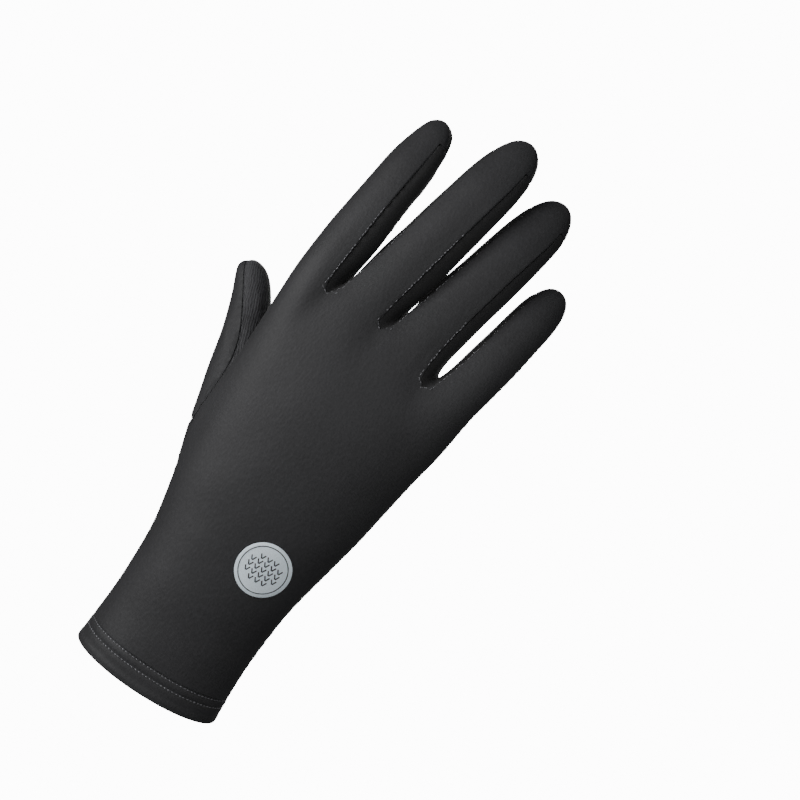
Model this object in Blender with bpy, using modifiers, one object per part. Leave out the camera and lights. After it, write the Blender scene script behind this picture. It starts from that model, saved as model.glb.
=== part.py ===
# Sun protection glove for the right hand, in the form that it has when it is worn.
# Metres. +Z runs from the cuff to the fingertips, the back of the hand faces -Y and the thumb is at -X.
# The origin is the middle of the cuff's mouth.
import math
from collections import namedtuple

import bmesh
import bpy
from mathutils import Matrix, Vector
from mathutils.bvhtree import BVHTree
from mathutils.kdtree import KDTree

# Cloth
CLOTH = 0.0010                  # wall of every sewn panel
HEM_CLOTH = 0.0018              # the cuff's hem is the cloth turned up once
GAP = 0.0003                    # clearance between neighbouring pieces
SMOOTHING = 1                   # subdivision level of the coarse cage
EVEN_TURNS = 2                  # how often the walls' directions are evened out
EVEN_WEIGHT = 3                 # weight of a point's own direction beside its neighbours'

# Cuff and palm
BODY_LENGTH = 0.1417            # cuff's edge to the web between index and middle finger
HEM_HEIGHT = 0.0080
CUFF_WIDTH = 0.0540
CUFF_DEPTH = 0.0370
WRIST_WIDTH = 0.0520
WRIST_DEPTH = 0.0350
PALM_WIDTH = 0.0770
PALM_DEPTH = 0.0340
KNUCKLE_DEPTH = 0.0260

# Webs between the fingers
WEB_WIDTH = 0.0024
WEB_RISE = 0.0065               # the saddle of a web stands this far above its seam on the back

# Open palm, in the wrist panel
OPENING_WIDTH = 0.0505
OPENING_HEIGHT = 0.0640
OPENING_MIDDLE = 0.0032         # across, from the glove's axis towards the little finger
OPENING_TOP = 0.847 * BODY_LENGTH     # height of the grip panel's lower edge, at the axis
OPENING_SLANT = math.radians(-15.5)
OPENING_CURVE_STEPS = 5

# across is a share of half the opening's width, height of its height. The thumb's side comes first.
Corner = namedtuple("Corner", "across height")
OPENING_CORNERS = [
    Corner(-0.72, 1.14), Corner(-0.68, 0.68), Corner(-0.86, 0.36), Corner(-1.00, 0.19),
    Corner(-0.86, 0.055), Corner(-0.48, 0.00), Corner(-0.05, 0.035), Corner(0.44, 0.19),
    Corner(0.79, 0.39), Corner(0.97, 0.62), Corner(1.00, 0.82), Corner(0.97, 1.14),
]

# Fingertip that folds back: the grip panel ends below it, inside the finger
FLAP_OVERLAP_DEPTH = CLOTH + GAP

# Badge
BADGE_DIAMETER = 0.0182
BADGE_THICKNESS = 0.0005
BADGE_ACROSS = 0.0133
BADGE_HEIGHT = 0.0543
BADGE_SIDES = 28
BADGE_RINGS = 2

# Fingers, by the size of the middle finger
FINGER_LENGTH = 0.0824
FINGER_WIDTH = 0.0208
FINGER_BACKS = 0.44             # their backs lie this share of the knuckles' depth behind the glove's axis

# length and width are shares of the middle finger's, depth of its width, across of the palm's breadth and
# height of the body's length. The angles are in degrees: lean tips a finger towards the little finger,
# curl bends it towards the palm, and roll turns its strip on the little finger's side to the front.
Finger = namedtuple("Finger", "name length width depth across height lean curl roll")
FINGERS = [
    Finger("index", 0.864, 0.890, 0.750, -0.322, 1.000, 4.9, 4, 30),
    Finger("middle", 1.000, 1.025, 0.837, -0.082, 1.000, 11.8, 3, 17),
    Finger("ring", 0.937, 0.985, 0.808, 0.176, 0.970, 13.4, 5, 14),
    Finger("little", 0.674, 0.775, 0.702, 0.457, 0.932, 11.6, 7, 8),
]

# at is a share of the finger's length, width and depth are shares of the finger's own. strip is half the
# angle that the side strip covers, in degrees.
Station = namedtuple("Station", "at width depth strip")
FINGER_STATIONS = [
    Station(0.17, 1.07, 1.06, 44),
    Station(0.42, 1.03, 1.02, 42),
    Station(0.655, 0.97, 0.96, 38),
    Station(0.715, 0.95, 0.94, 36),
    Station(0.87, 0.83, 0.82, 24),
    Station(0.965, 0.54, 0.54, 45),
]
FINGER_TIP = 1.02               # the cage's tip, beyond the finger's own
FLAP_EDGE = 2                   # the flap starts at this station, and overlaps up to the next
STRIP_END = 4                   # the side strips end at this station
ROLL_AT_ROOT = 0.5              # share of the roll at the finger's root
ROLL_GROWTH = 2.0               # the rest follows over this inverse share of the length

# The finger's root in the cage. across is a share of the finger's width and forward of its depth. The outer
# corners are for a side with no neighbour, and the web corners for a side with one.
RootCorner = namedtuple("RootCorner", "name across forward")
ROOT_MIDDLES = [RootCorner("back", 0.0, -0.62), RootCorner("palm", 0.0, 0.66)]
ROOT_OUTER = [RootCorner("back", 0.42, -0.42), RootCorner("side", 0.54, 0.06), RootCorner("palm", 0.42, 0.52)]
ROOT_WEB_BACK = -0.52
ROOT_WEB_PALM = 0.56

# back, saddle and palm are places across, as shares of the palm's breadth, and height is a share of the
# body's length. saddle is the bottom of the web between the fingers, halfway through the hand.
Web = namedtuple("Web", "back saddle palm height")
WEBS = [
    Web(-0.265, -0.186, -0.200, 1.000),
    Web(0.003, 0.098, 0.080, 1.000),
    Web(0.290, 0.352, 0.350, 0.935),
]

# A section of the cuff and palm. at is a share of the body's length, middle a share of the palm's breadth
# and forward of the section's own depth. A square under 1 fills out the oval's corners. fan is how far the
# columns have spread from even steps to the fingers' own places, and drop how far the section follows the
# slope of the finger roots.
Section = namedtuple("Section", "at width depth middle forward square fan drop")
SECTIONS = [
    Section(0.000, 1.00 * CUFF_WIDTH, 1.00 * CUFF_DEPTH, 0.006, 0.00, 1.00, 0.0, 0.0),
    Section(HEM_HEIGHT / BODY_LENGTH, 0.99 * CUFF_WIDTH, 0.99 * CUFF_DEPTH, 0.006, 0.00, 1.00, 0.0, 0.0),
    Section(0.160, 1.00 * WRIST_WIDTH, 1.01 * WRIST_DEPTH, 0.010, 0.00, 1.00, 0.0, 0.0),
    Section(0.300, 1.02 * WRIST_WIDTH, 1.00 * WRIST_DEPTH, 0.014, 0.00, 1.00, 0.0, 0.0),
    Section(0.430, 0.80 * PALM_WIDTH, 1.08 * PALM_DEPTH, 0.016, 0.02, 0.96, 0.0, 0.0),
    Section(0.550, 0.88 * PALM_WIDTH, 1.15 * PALM_DEPTH, 0.020, 0.05, 0.92, 0.1, 0.0),
    Section(0.655, 0.92 * PALM_WIDTH, 1.12 * PALM_DEPTH, 0.027, 0.05, 0.90, 0.2, 0.08),
    Section(0.760, 0.96 * PALM_WIDTH, 1.04 * PALM_DEPTH, 0.036, 0.03, 0.86, 0.4, 0.24),
    Section(0.862, 0.99 * PALM_WIDTH, 1.12 * KNUCKLE_DEPTH, 0.056, -0.02, 0.80, 0.7, 0.48),
]
THUMB_SECTION = 5               # the thumb leaves the palm over the two rows above this section
GRIP_SECTION = 8                # the grip panel starts at this section

# Thumb. Its axis starts inside the hand.
THUMB_LENGTH = 0.0635
THUMB_WIDTH = 0.0192
THUMB_DEPTH = 0.0180
THUMB_ACROSS = -0.344 * PALM_WIDTH
THUMB_FORWARD = 0.191 * PALM_DEPTH
THUMB_HEIGHT = 0.600 * BODY_LENGTH
THUMB_SPREAD = math.radians(25.3)     # away from the fingers
THUMB_REACH = math.radians(26)      # towards the palm
THUMB_TIP = 1.03                # the cage's tip, beyond the thumb's own

# The seam where the thumb is set into the hand, from the thumb's outer side over its back to its pad.
# across is a share of the palm's breadth, forward of its depth and height of the body's length.
SeamPoint = namedtuple("SeamPoint", "across forward height")
THUMB_SEAM = [
    SeamPoint(-0.512, 0.20, 0.575), SeamPoint(-0.454, -0.01, 0.550), SeamPoint(-0.455, -0.04, 0.645),
    SeamPoint(-0.450, 0.02, 0.745), SeamPoint(-0.400, 0.27, 0.765), SeamPoint(-0.300, 0.45, 0.745),
    SeamPoint(-0.235, 0.56, 0.650), SeamPoint(-0.315, 0.50, 0.550),
]

# slant is how far the inner side of the section is ahead of its outer side, as a share of the length, out how
# far the section lies to the outer side, as a share of the width, and turn how far its seams lie round to the
# outer side, in degrees
ThumbStation = namedtuple("ThumbStation", "at width depth slant out turn")
THUMB_STATIONS = [
    ThumbStation(0.34, 1.08, 1.06, 0.11, -0.03, 0),
    ThumbStation(0.60, 0.84, 0.98, 0.04, -0.07, 20),
    ThumbStation(0.84, 0.76, 0.84, 0.00, -0.03, 36),
    ThumbStation(0.97, 0.58, 0.56, 0.00, 0.08, 36),
]

PANELS = ["back_panel", "palm_panel", "wrist_panel", "fourchette_index_middle", "fourchette_middle_ring",
          "fourchette_ring_little", "index_tip_flap", "flap_overlap", "thumb_back", "thumb_pad", "cuff_hem"]
FOURCHETTES = PANELS[3:6]

SMOOTH_KNIT = (0.030, 0.030, 0.032)
GRIP_KNIT = (0.018, 0.018, 0.019)
STRIP_KNIT = (0.014, 0.014, 0.015)
SILVER = (0.60, 0.61, 0.64)


def clear_scene():
    for thing in list(bpy.data.objects):
        bpy.data.objects.remove(thing)


def collection(name):
    made = bpy.data.collections.new(name)
    bpy.context.scene.collection.children.link(made)
    return made


def material(name, colour, roughness, metallic=0.0):
    made = bpy.data.materials.new(name)
    made.use_nodes = True
    shader = made.node_tree.nodes["Principled BSDF"]
    shader.inputs["Base Color"].default_value = (*colour, 1.0)
    shader.inputs["Roughness"].default_value = roughness
    shader.inputs["Metallic"].default_value = metallic
    return made


def cage_swell(corners):
    """How much larger a cage ring of so many corners is than the smooth ring it gives."""
    return 6 / (4 + 2 * math.cos(2 * math.pi / corners))


def ring_point(middle, right, front, half_width, half_depth, angle):
    """A point of an oval ring. The angle runs from the front (the back of the hand) to the right."""
    return middle + right * (half_width * math.sin(angle)) + front * (half_depth * math.cos(angle))


class Cage:
    """A coarse net of four-sided faces, each face marked with its panel."""

    def __init__(self):
        self.points = []
        self.faces = []
        self.marks = []

    def point(self, place):
        self.points.append(Vector(place))
        return len(self.points) - 1

    def face(self, corners, panel):
        self.faces.append(corners)
        self.marks.append(PANELS.index(panel))

    def band(self, lower, upper, panels):
        """Faces between two closed rings with the same number of corners."""
        count = len(lower)
        for step in range(count):
            following = (step + 1) % count
            corners = [lower[step], lower[following], upper[following], upper[step]]
            self.face(corners, panels[step])

    def cap(self, ring, tip, panels):
        """Four faces that close a ring of eight corners at one point."""
        for quarter in range(4):
            first = 2 * quarter - 1
            corners = [ring[first], ring[first + 1], ring[(first + 2) % 8], tip]
            self.face(corners, panels[quarter])


def finger_length(finger):
    return finger.length * FINGER_LENGTH


def finger_width(finger):
    return finger.width * FINGER_WIDTH


def finger_depth(finger):
    return finger.depth * FINGER_WIDTH


def finger_axis(finger):
    lean, curl = math.radians(finger.lean), math.radians(finger.curl)
    return Vector((math.sin(lean), math.sin(curl), math.cos(lean))).normalized()


def finger_frame(finger, share):
    """The finger's own right and front directions, turned by its roll."""
    axis = finger_axis(finger)
    right = Vector((1, 0, 0)) - axis * axis.x
    right.normalize()
    front = right.cross(axis)
    turn = Matrix.Rotation(-math.radians(finger.roll) * share, 3, axis)
    return turn @ right, turn @ front


def finger_middle(finger, at):
    """A point on the finger's middle line. The backs lie level with the back of the hand."""
    forward = finger_depth(finger) / 2 - FINGER_BACKS * KNUCKLE_DEPTH
    root = Vector((finger.across * PALM_WIDTH, forward, finger.height * BODY_LENGTH))
    length = finger_length(finger)
    bend = length * math.tan(math.radians(finger.curl)) * at * at
    return root + finger_axis(finger) * (length * at) + Vector((0, bend, 0))


def finger_ring(cage, finger, station):
    """Eight corners: left, middle and right of the back, right side, then the palm side and left side."""
    right, front = finger_frame(finger, min(1.0, ROLL_AT_ROOT + ROLL_GROWTH * station.at))
    middle = finger_middle(finger, station.at)
    half_width = cage_swell(8) * station.width * finger_width(finger) / 2
    half_depth = cage_swell(8) * station.depth * finger_depth(finger) / 2
    quarter = math.pi / 2
    strip = math.radians(station.strip)
    angles = [strip - quarter, 0, quarter - strip, quarter,
              quarter + strip, 2 * quarter, -quarter - strip, -quarter]
    return [cage.point(ring_point(middle, right, front, half_width, half_depth, angle)) for angle in angles]


def finger_roots(cage):
    """The corners round each finger's root: back and palm columns, and the saddles of the webs."""
    roots = []
    for number, finger in enumerate(FINGERS):
        middle = finger_middle(finger, 0)
        width, depth = finger_width(finger), finger_depth(finger)
        places = {}
        for corner in ROOT_MIDDLES:
            places["middle_" + corner.name] = middle + Vector((0, corner.forward * depth, 0))
        for side, web_number, outwards in (("left", number - 1, -1), ("right", number, 1)):
            if 0 <= web_number < len(WEBS):
                web = WEBS[web_number]
                height = web.height * BODY_LENGTH
                step = -outwards * WEB_WIDTH / 2
                back_x, saddle_x, palm_x = (at * PALM_WIDTH + step for at in web[:3])
                back_y, palm_y = (middle.y + at * depth for at in (ROOT_WEB_BACK, ROOT_WEB_PALM))
                places[side + "_back"] = (back_x, back_y, height)
                places[side + "_side"] = (saddle_x, middle.y, height + WEB_RISE)
                places[side + "_palm"] = (palm_x, palm_y, height + WEB_RISE / 2)
            else:
                for corner in ROOT_OUTER:
                    shift = Vector((outwards * corner.across * width, corner.forward * depth, 0))
                    places[side + "_" + corner.name] = middle + shift
        roots.append({name: cage.point(place) for name, place in places.items()})
    return roots


ROOT_ORDER = ["left_back", "middle_back", "right_back", "right_side",
              "right_palm", "middle_palm", "left_palm", "left_side"]


def top_ring(roots):
    """The palm's last ring: thumb's side, back columns, little finger's side and palm columns."""
    backs = [root[name] for root in roots for name in ("left_back", "middle_back", "right_back")]
    palms = [root[name] for root in roots for name in ("left_palm", "middle_palm", "right_palm")]
    return [roots[0]["left_side"]] + backs + [roots[-1]["right_side"]] + palms[::-1]


def section_ring(cage, section, top):
    """One ring of the cuff or palm, whose columns fan out towards the finger roots."""
    count = len(top)
    half = count // 2
    top_places = [cage.points[corner] for corner in top]
    top_left = top_places[0].x
    top_width = top_places[half].x - top_left
    swell = cage_swell(count)
    grip_edge = section is SECTIONS[GRIP_SECTION]
    ring = []
    for column in range(count):
        angle = math.pi * column / half
        even = -math.cos(angle)
        fanned = 2 * (top_places[column].x - top_left) / top_width - 1
        across = even + (fanned - even) * section.fan
        across = max(-1.0, min(1.0, across))
        depth = math.sqrt(1 - across * across) ** section.square
        x = section.middle * PALM_WIDTH + swell * across * section.width / 2
        toward = -1 if column < half else 1
        y = section.forward * section.depth + toward * swell * depth * section.depth / 2
        z = section.at * BODY_LENGTH + section.drop * (top_places[column].z - BODY_LENGTH)
        if grip_edge and column > half:
            z = OPENING_TOP + x * math.tan(OPENING_SLANT)
        ring.append(cage.point((x, y, z)))
    return ring


def thumb_axis():
    return Vector((-math.tan(THUMB_SPREAD), math.tan(THUMB_REACH), 1)).normalized()


def thumb_middle(at):
    return Vector((THUMB_ACROSS, THUMB_FORWARD, THUMB_HEIGHT)) + thumb_axis() * (at * THUMB_LENGTH)


def thumb_sides():
    """The ways to the thumb's outer side and to its back, square to its axis."""
    axis = thumb_axis()
    outer = (Vector((-1, 0, 0)) + axis * axis.x).normalized()
    back = axis.cross(outer)
    return outer, -back if back.y > 0 else back


def thumb_ring_places(station):
    """Eight corners round the thumb, from its outer side over its back to its inner side and its pad."""
    axis = thumb_axis()
    outer, back = thumb_sides()
    middle = thumb_middle(station.at) + outer * (station.out * THUMB_WIDTH)
    half_width = cage_swell(8) * station.width * THUMB_WIDTH / 2
    half_depth = cage_swell(8) * station.depth * THUMB_DEPTH / 2
    places = []
    for step in range(8):
        angle = step * math.pi / 4 - math.radians(station.turn)
        across = outer * half_width - axis * (station.slant * THUMB_LENGTH)
        places.append(middle + across * math.cos(angle) + back * (half_depth * math.sin(angle)))
    return places


def thumb_root(rings):
    """The eight corners of the palm that the thumb grows from, in the thumb's own order."""
    low, level, high = rings[THUMB_SECTION:THUMB_SECTION + 3]
    first, second, third = 0, -1, -2
    return [low[second], low[first], level[first], high[first],
            high[second], high[third], level[third], low[third]]


def build_cage():
    cage = Cage()
    roots = finger_roots(cage)
    top = top_ring(roots)
    rings = [section_ring(cage, section, top) for section in SECTIONS] + [top]
    count = len(top)
    half = count // 2

    # The thumb's root takes the place of two columns of the palm over two rows
    hub = rings[THUMB_SECTION + 1][-1]
    root_ring = thumb_root(rings)
    for corner, seam in zip(root_ring, THUMB_SEAM):
        cage.points[corner] = Vector((seam.across * PALM_WIDTH, seam.forward * PALM_DEPTH,
                                      seam.height * BODY_LENGTH))

    for row, (lower, upper) in enumerate(zip(rings, rings[1:])):
        palm_name = "palm_panel" if row >= GRIP_SECTION else "wrist_panel"
        for column in range(count):
            following = (column + 1) % count
            corners = [lower[column], lower[following], upper[following], upper[column]]
            if hub in corners:
                continue
            name = "cuff_hem" if row == 0 else "back_panel" if column < half else palm_name
            cage.face(corners, name)

    for number, (finger, root) in enumerate(zip(FINGERS, roots)):
        build_finger(cage, finger, root, number)
    for number, name in enumerate(FOURCHETTES):
        build_web(cage, roots[number], roots[number + 1], name)
    build_thumb(cage, root_ring)
    return cage


def build_finger(cage, finger, root, number):
    left_strip = FOURCHETTES[number - 1] if number > 0 else None
    right_strip = FOURCHETTES[number] if number < len(FOURCHETTES) else None
    ring = [root[name] for name in ROOT_ORDER]
    for row, station in enumerate(FINGER_STATIONS):
        upper = finger_ring(cage, finger, station)
        palm = "palm_panel"
        if finger.name == "index" and row > FLAP_EDGE:
            palm = "index_tip_flap" if row > FLAP_EDGE + 1 else "flap_overlap"
        strips = row <= STRIP_END
        right_back = right_strip if strips and right_strip else "back_panel"
        right_palm = right_strip if strips and right_strip else palm
        left_back = left_strip if strips and left_strip else "back_panel"
        left_palm = left_strip if strips and left_strip else palm
        backs = ["back_panel", "back_panel", right_back]
        cage.band(ring, upper, backs + [right_palm, palm, palm, left_palm, left_back])
        ring = upper
    tip = cage.point(finger_middle(finger, FINGER_TIP))
    palm = "index_tip_flap" if finger.name == "index" else "palm_panel"
    cage.cap(ring, tip, ["back_panel", "back_panel", palm, palm])


def build_web(cage, left, right, name):
    cage.face([left["right_side"], left["right_back"], right["left_back"], right["left_side"]], name)
    cage.face([left["right_palm"], left["right_side"], right["left_side"], right["left_palm"]], name)


def build_thumb(cage, ring):
    panels = ["thumb_back"] * 2 + ["thumb_pad"] * 4 + ["thumb_back"] * 2
    for station in THUMB_STATIONS:
        upper = [cage.point(place) for place in thumb_ring_places(station)]
        cage.band(ring, upper, panels)
        ring = upper
    outer, back = thumb_sides()
    tip = cage.point(thumb_middle(THUMB_TIP) + outer * (THUMB_STATIONS[-1].out * THUMB_WIDTH))
    for quarter, panel in enumerate(["thumb_back", "thumb_pad", "thumb_pad", "thumb_back"]):
        first = 2 * quarter
        cage.face([ring[first], ring[first + 1], ring[(first + 2) % 8], tip], panel)


def smooth_sheet(cage, guides):
    """The whole outer surface of the glove, smoothed, as a guide that the pieces are taken from."""
    mesh = bpy.data.meshes.new("glove_surface")
    mesh.from_pydata([tuple(point) for point in cage.points], [], cage.faces)
    for face, mark in zip(mesh.polygons, cage.marks):
        face.material_index = mark
    shape = bmesh.new()
    shape.from_mesh(mesh)
    loose = [vertex for vertex in shape.verts if not vertex.link_faces]
    bmesh.ops.delete(shape, geom=loose, context="VERTS")
    bmesh.ops.recalc_face_normals(shape, faces=shape.faces[:])
    shape.to_mesh(mesh)
    shape.free()
    for name in PANELS:
        mesh.materials.append(None)
    sheet = bpy.data.objects.new("glove_surface", mesh)
    guides.objects.link(sheet)
    sheet.hide_render = True
    sheet.display_type = "WIRE"
    smoothing = sheet.modifiers.new("smoothing", "SUBSURF")
    smoothing.levels = SMOOTHING
    smoothing.render_levels = SMOOTHING
    return sheet


def evaluated_mesh(thing):
    graph = bpy.context.evaluated_depsgraph_get()
    return bpy.data.meshes.new_from_object(thing.evaluated_get(graph))


def wall_directions(surface):
    """The outward direction at each point, evened out so that neighbouring walls stay side by side."""
    directions = [vertex.normal.copy() for vertex in surface.vertices]
    for turn in range(EVEN_TURNS):
        sums = [direction * EVEN_WEIGHT for direction in directions]
        for edge in surface.edges:
            first, second = edge.vertices
            sums[first] += directions[second]
            sums[second] += directions[first]
        directions = [total.normalized() for total in sums]
    return directions


def point_tree(places):
    tree = KDTree(len(places))
    for number, place in enumerate(places):
        tree.insert(place, number)
    tree.balance()
    return tree


def cloth_solid(name, surface, marks, wall, finish, parts, sunk=None):
    """One panel: the marked faces, drawn in from their seams by half the gap and given a wall inwards."""
    directions = wall_directions(surface)
    points = point_tree([vertex.co for vertex in surface.vertices])

    shape = bmesh.new()
    shape.from_mesh(surface)
    wanted = {PANELS.index(mark) for mark in marks}
    unwanted = [face for face in shape.faces if face.material_index not in wanted]
    bmesh.ops.delete(shape, geom=unwanted, context="FACES")
    lowered = set()
    if sunk:
        lowered = {tuple(vertex.co) for face in shape.faces if face.material_index == PANELS.index(sunk)
                   for vertex in face.verts}
    seam = bmesh.ops.inset_region(shape, faces=shape.faces[:], thickness=GAP / 2, use_even_offset=True,
                                  use_boundary=True)["faces"]
    bmesh.ops.delete(shape, geom=seam, context="FACES")

    outward = []
    for vertex in shape.verts:
        place, number, distance = points.find(vertex.co)
        outward.append(directions[number])
        if tuple(surface.vertices[number].co) in lowered:
            vertex.co -= directions[number] * FLAP_OVERLAP_DEPTH
    outside = point_tree([vertex.co for vertex in shape.verts])
    made = bmesh.ops.extrude_face_region(shape, geom=shape.faces[:], use_keep_orig=True)["geom"]
    for vertex in (element for element in made if isinstance(element, bmesh.types.BMVert)):
        place, number, distance = outside.find(vertex.co)
        vertex.co -= outward[number] * wall
    bmesh.ops.recalc_face_normals(shape, faces=shape.faces[:])
    for face in shape.faces:
        face.material_index = 0
        face.smooth = True
    mesh = bpy.data.meshes.new(name)
    shape.to_mesh(mesh)
    shape.free()
    mesh.materials.append(finish)
    piece = bpy.data.objects.new(name, mesh)
    parts.objects.link(piece)
    return piece


def build_opening_cutter(guides):
    """The outline of the open palm, as a block that passes through the palm side alone."""
    curve = bpy.data.curves.new("palm_opening", "CURVE")
    curve.dimensions = "2D"
    curve.fill_mode = "BOTH"
    curve.extrude = PALM_DEPTH / 2
    curve.resolution_u = OPENING_CURVE_STEPS
    spline = curve.splines.new("BEZIER")
    corners = OPENING_CORNERS
    spline.bezier_points.add(len(corners) - 1)
    for knot, corner in zip(spline.bezier_points, corners):
        knot.co = (OPENING_MIDDLE + corner.across * OPENING_WIDTH / 2,
                   OPENING_TOP - OPENING_HEIGHT + corner.height * OPENING_HEIGHT, 0)
        knot.handle_left_type = "AUTO"
        knot.handle_right_type = "AUTO"
    for knot in (spline.bezier_points[0], spline.bezier_points[-1]):
        knot.handle_left_type = "VECTOR"
        knot.handle_right_type = "VECTOR"
    spline.use_cyclic_u = True
    outline = bpy.data.objects.new("palm_opening_outline", curve)
    guides.objects.link(outline)
    outline.matrix_world = Matrix.Translation((0, PALM_DEPTH / 2, 0)) @ Matrix.Rotation(math.pi / 2, 4, "X")
    bpy.context.view_layer.update()
    mesh = evaluated_mesh(outline)
    shape = bmesh.new()
    shape.from_mesh(mesh)
    bmesh.ops.remove_doubles(shape, verts=shape.verts[:], dist=0.00001)
    bmesh.ops.recalc_face_normals(shape, faces=shape.faces[:])
    shape.to_mesh(mesh)
    shape.free()
    cutter = bpy.data.objects.new("palm_opening", mesh)
    cutter.matrix_world = outline.matrix_world
    cutter.hide_render = True
    cutter.display_type = "WIRE"
    guides.objects.link(cutter)
    bpy.data.objects.remove(outline)
    return cutter


def build_badge(surface, finish, parts):
    """A thin round disc that follows the back of the wrist."""
    shape = bmesh.new()
    bmesh.ops.create_circle(shape, cap_ends=True, radius=BADGE_DIAMETER / 2, segments=BADGE_SIDES)
    step = BADGE_DIAMETER / 2 / (BADGE_RINGS + 1)
    for ring in range(BADGE_RINGS):
        middle = max(shape.faces, key=lambda face: len(face.verts))
        bmesh.ops.inset_region(shape, faces=[middle], thickness=step, use_boundary=True)
    middle = max(shape.faces, key=lambda face: len(face.verts))
    bmesh.ops.poke(shape, faces=[middle])
    upright = Matrix.Rotation(math.pi / 2, 4, "X")
    before_wrist = Matrix.Translation((BADGE_ACROSS, -CUFF_DEPTH, BADGE_HEIGHT))
    bmesh.ops.transform(shape, verts=shape.verts[:], matrix=before_wrist @ upright)
    shape.normal_update()
    bmesh.ops.reverse_faces(shape, faces=[face for face in shape.faces if face.normal.y > 0])

    # Each point is laid on the cloth below it, clear of the ridges between the cloth's faces
    whole = bmesh.new()
    whole.from_mesh(surface)
    cloth = BVHTree.FromBMesh(whole)
    whole.free()
    for vertex in shape.verts:
        place, normal, number, distance = cloth.ray_cast(vertex.co, Vector((0, 1, 0)))
        vertex.co = place + normal * (GAP + BADGE_THICKNESS / 2)
    mesh = bpy.data.meshes.new("badge")
    shape.to_mesh(mesh)
    shape.free()
    mesh.materials.append(finish)
    badge = bpy.data.objects.new("badge", mesh)
    parts.objects.link(badge)
    wall = badge.modifiers.new("wall", "SOLIDIFY")
    wall.thickness = BADGE_THICKNESS
    wall.offset = 0
    return badge


def build_glove():
    clear_scene()
    parts = collection("sun_protection_glove")
    guides = collection("guides")
    sheet = smooth_sheet(build_cage(), guides)
    bpy.context.view_layer.update()
    surface = evaluated_mesh(sheet)

    smooth_knit = material("smooth_knit", SMOOTH_KNIT, 0.75)
    grip_knit = material("grip_knit", GRIP_KNIT, 0.80)
    strip_knit = material("strip_knit", STRIP_KNIT, 0.80)
    silver = material("silver_transfer", SILVER, 0.45)

    cloth_solid("back_panel", surface, ["back_panel"], CLOTH, smooth_knit, parts)
    cloth_solid("palm_panel", surface, ["palm_panel", "flap_overlap"], CLOTH, grip_knit, parts,
                sunk="flap_overlap")
    cloth_solid("index_tip_flap", surface, ["index_tip_flap", "flap_overlap"], CLOTH, grip_knit, parts)
    for name in FOURCHETTES:
        cloth_solid(name, surface, [name], CLOTH, strip_knit, parts)
    cloth_solid("thumb_back", surface, ["thumb_back"], CLOTH, smooth_knit, parts)
    cloth_solid("thumb_pad", surface, ["thumb_pad"], CLOTH, grip_knit, parts)
    cloth_solid("cuff_hem", surface, ["cuff_hem"], HEM_CLOTH, smooth_knit, parts)
    wrist = cloth_solid("wrist_panel", surface, ["wrist_panel"], CLOTH, smooth_knit, parts)
    cut = wrist.modifiers.new("open_palm", "BOOLEAN")
    cut.operation = "DIFFERENCE"
    cut.solver = "EXACT"
    cut.object = build_opening_cutter(guides)
    build_badge(surface, silver, parts)


build_glove()
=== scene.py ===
import math
from collections import namedtuple

import bmesh
import bpy
import numpy as np
from mathutils import Matrix, Vector, noise
from mathutils.bvhtree import BVHTree
from mathutils.kdtree import KDTree


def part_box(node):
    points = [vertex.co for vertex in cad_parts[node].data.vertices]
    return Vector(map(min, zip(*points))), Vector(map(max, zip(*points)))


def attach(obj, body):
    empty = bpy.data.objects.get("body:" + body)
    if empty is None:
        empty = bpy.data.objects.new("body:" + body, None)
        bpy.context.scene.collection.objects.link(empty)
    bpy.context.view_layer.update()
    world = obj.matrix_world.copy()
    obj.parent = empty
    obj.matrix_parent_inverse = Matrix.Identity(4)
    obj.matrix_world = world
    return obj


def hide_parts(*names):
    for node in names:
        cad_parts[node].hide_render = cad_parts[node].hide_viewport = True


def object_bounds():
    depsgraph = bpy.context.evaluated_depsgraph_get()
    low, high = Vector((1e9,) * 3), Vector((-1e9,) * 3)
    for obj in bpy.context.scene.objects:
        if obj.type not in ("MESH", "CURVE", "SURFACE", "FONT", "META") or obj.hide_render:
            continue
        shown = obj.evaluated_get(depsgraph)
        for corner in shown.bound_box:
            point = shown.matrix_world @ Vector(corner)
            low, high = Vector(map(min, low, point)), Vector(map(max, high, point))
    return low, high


bl_info = {
    "name": "Sun Protection Glove",
    "version": (1, 0, 0),
    "blender": (4, 5, 0),
    "location": "View3D > Sidebar > Glove",
    "description": "Dresses a sun protection glove in its knits, seams, stitches, grip dots and badge",
    "category": "Object",
}

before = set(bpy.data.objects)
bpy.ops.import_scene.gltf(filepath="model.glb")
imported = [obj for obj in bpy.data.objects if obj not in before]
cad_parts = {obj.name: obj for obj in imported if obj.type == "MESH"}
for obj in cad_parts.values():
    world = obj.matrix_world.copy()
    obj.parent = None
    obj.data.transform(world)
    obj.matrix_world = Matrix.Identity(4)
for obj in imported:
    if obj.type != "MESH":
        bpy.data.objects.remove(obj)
CAD_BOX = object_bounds()
BOX_LOW, BOX_HIGH = CAD_BOX
BODY = "root"

MM = 0.001
MERGE = 0.00001
SHORTEST_EDGE = 0.6 * MM        # shorter edges come from the cut of the open palm, and are merged
RIM_ANGLE = math.radians(55)
NEIGHBOUR = 0.6 * MM            # a rim this close to another panel is sewn to it
OUTSIDE, INSIDE, RIM = 0, 1, 2  # material slots of a cloth: its face, its reverse and its rims
TAPE_DEPTH = 0.42               # a seam allowance lies this share of the wall below the cloth's face
OPEN_TAPE_DEPTH = 0.62          # and deeper where a seam stands open: along the thumb and down to the webs
TAPE_THICKNESS = 0.55 * MM
DOT_FACING = 0.30               # dots stop where the cloth turns away
DOT_MARGIN = 1.4 * MM           # and keep this far from a seam or an edge
PAD_FACING = 0.35               # on the thumb they lie on its palm side alone
DOT_SUNK = 0.05 * MM            # a dot's middle lies this far below the cloth's face
FLAP_MARGIN = 1.6 * MM          # no dot lies under the fingertip's flap, or this close to it
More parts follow.
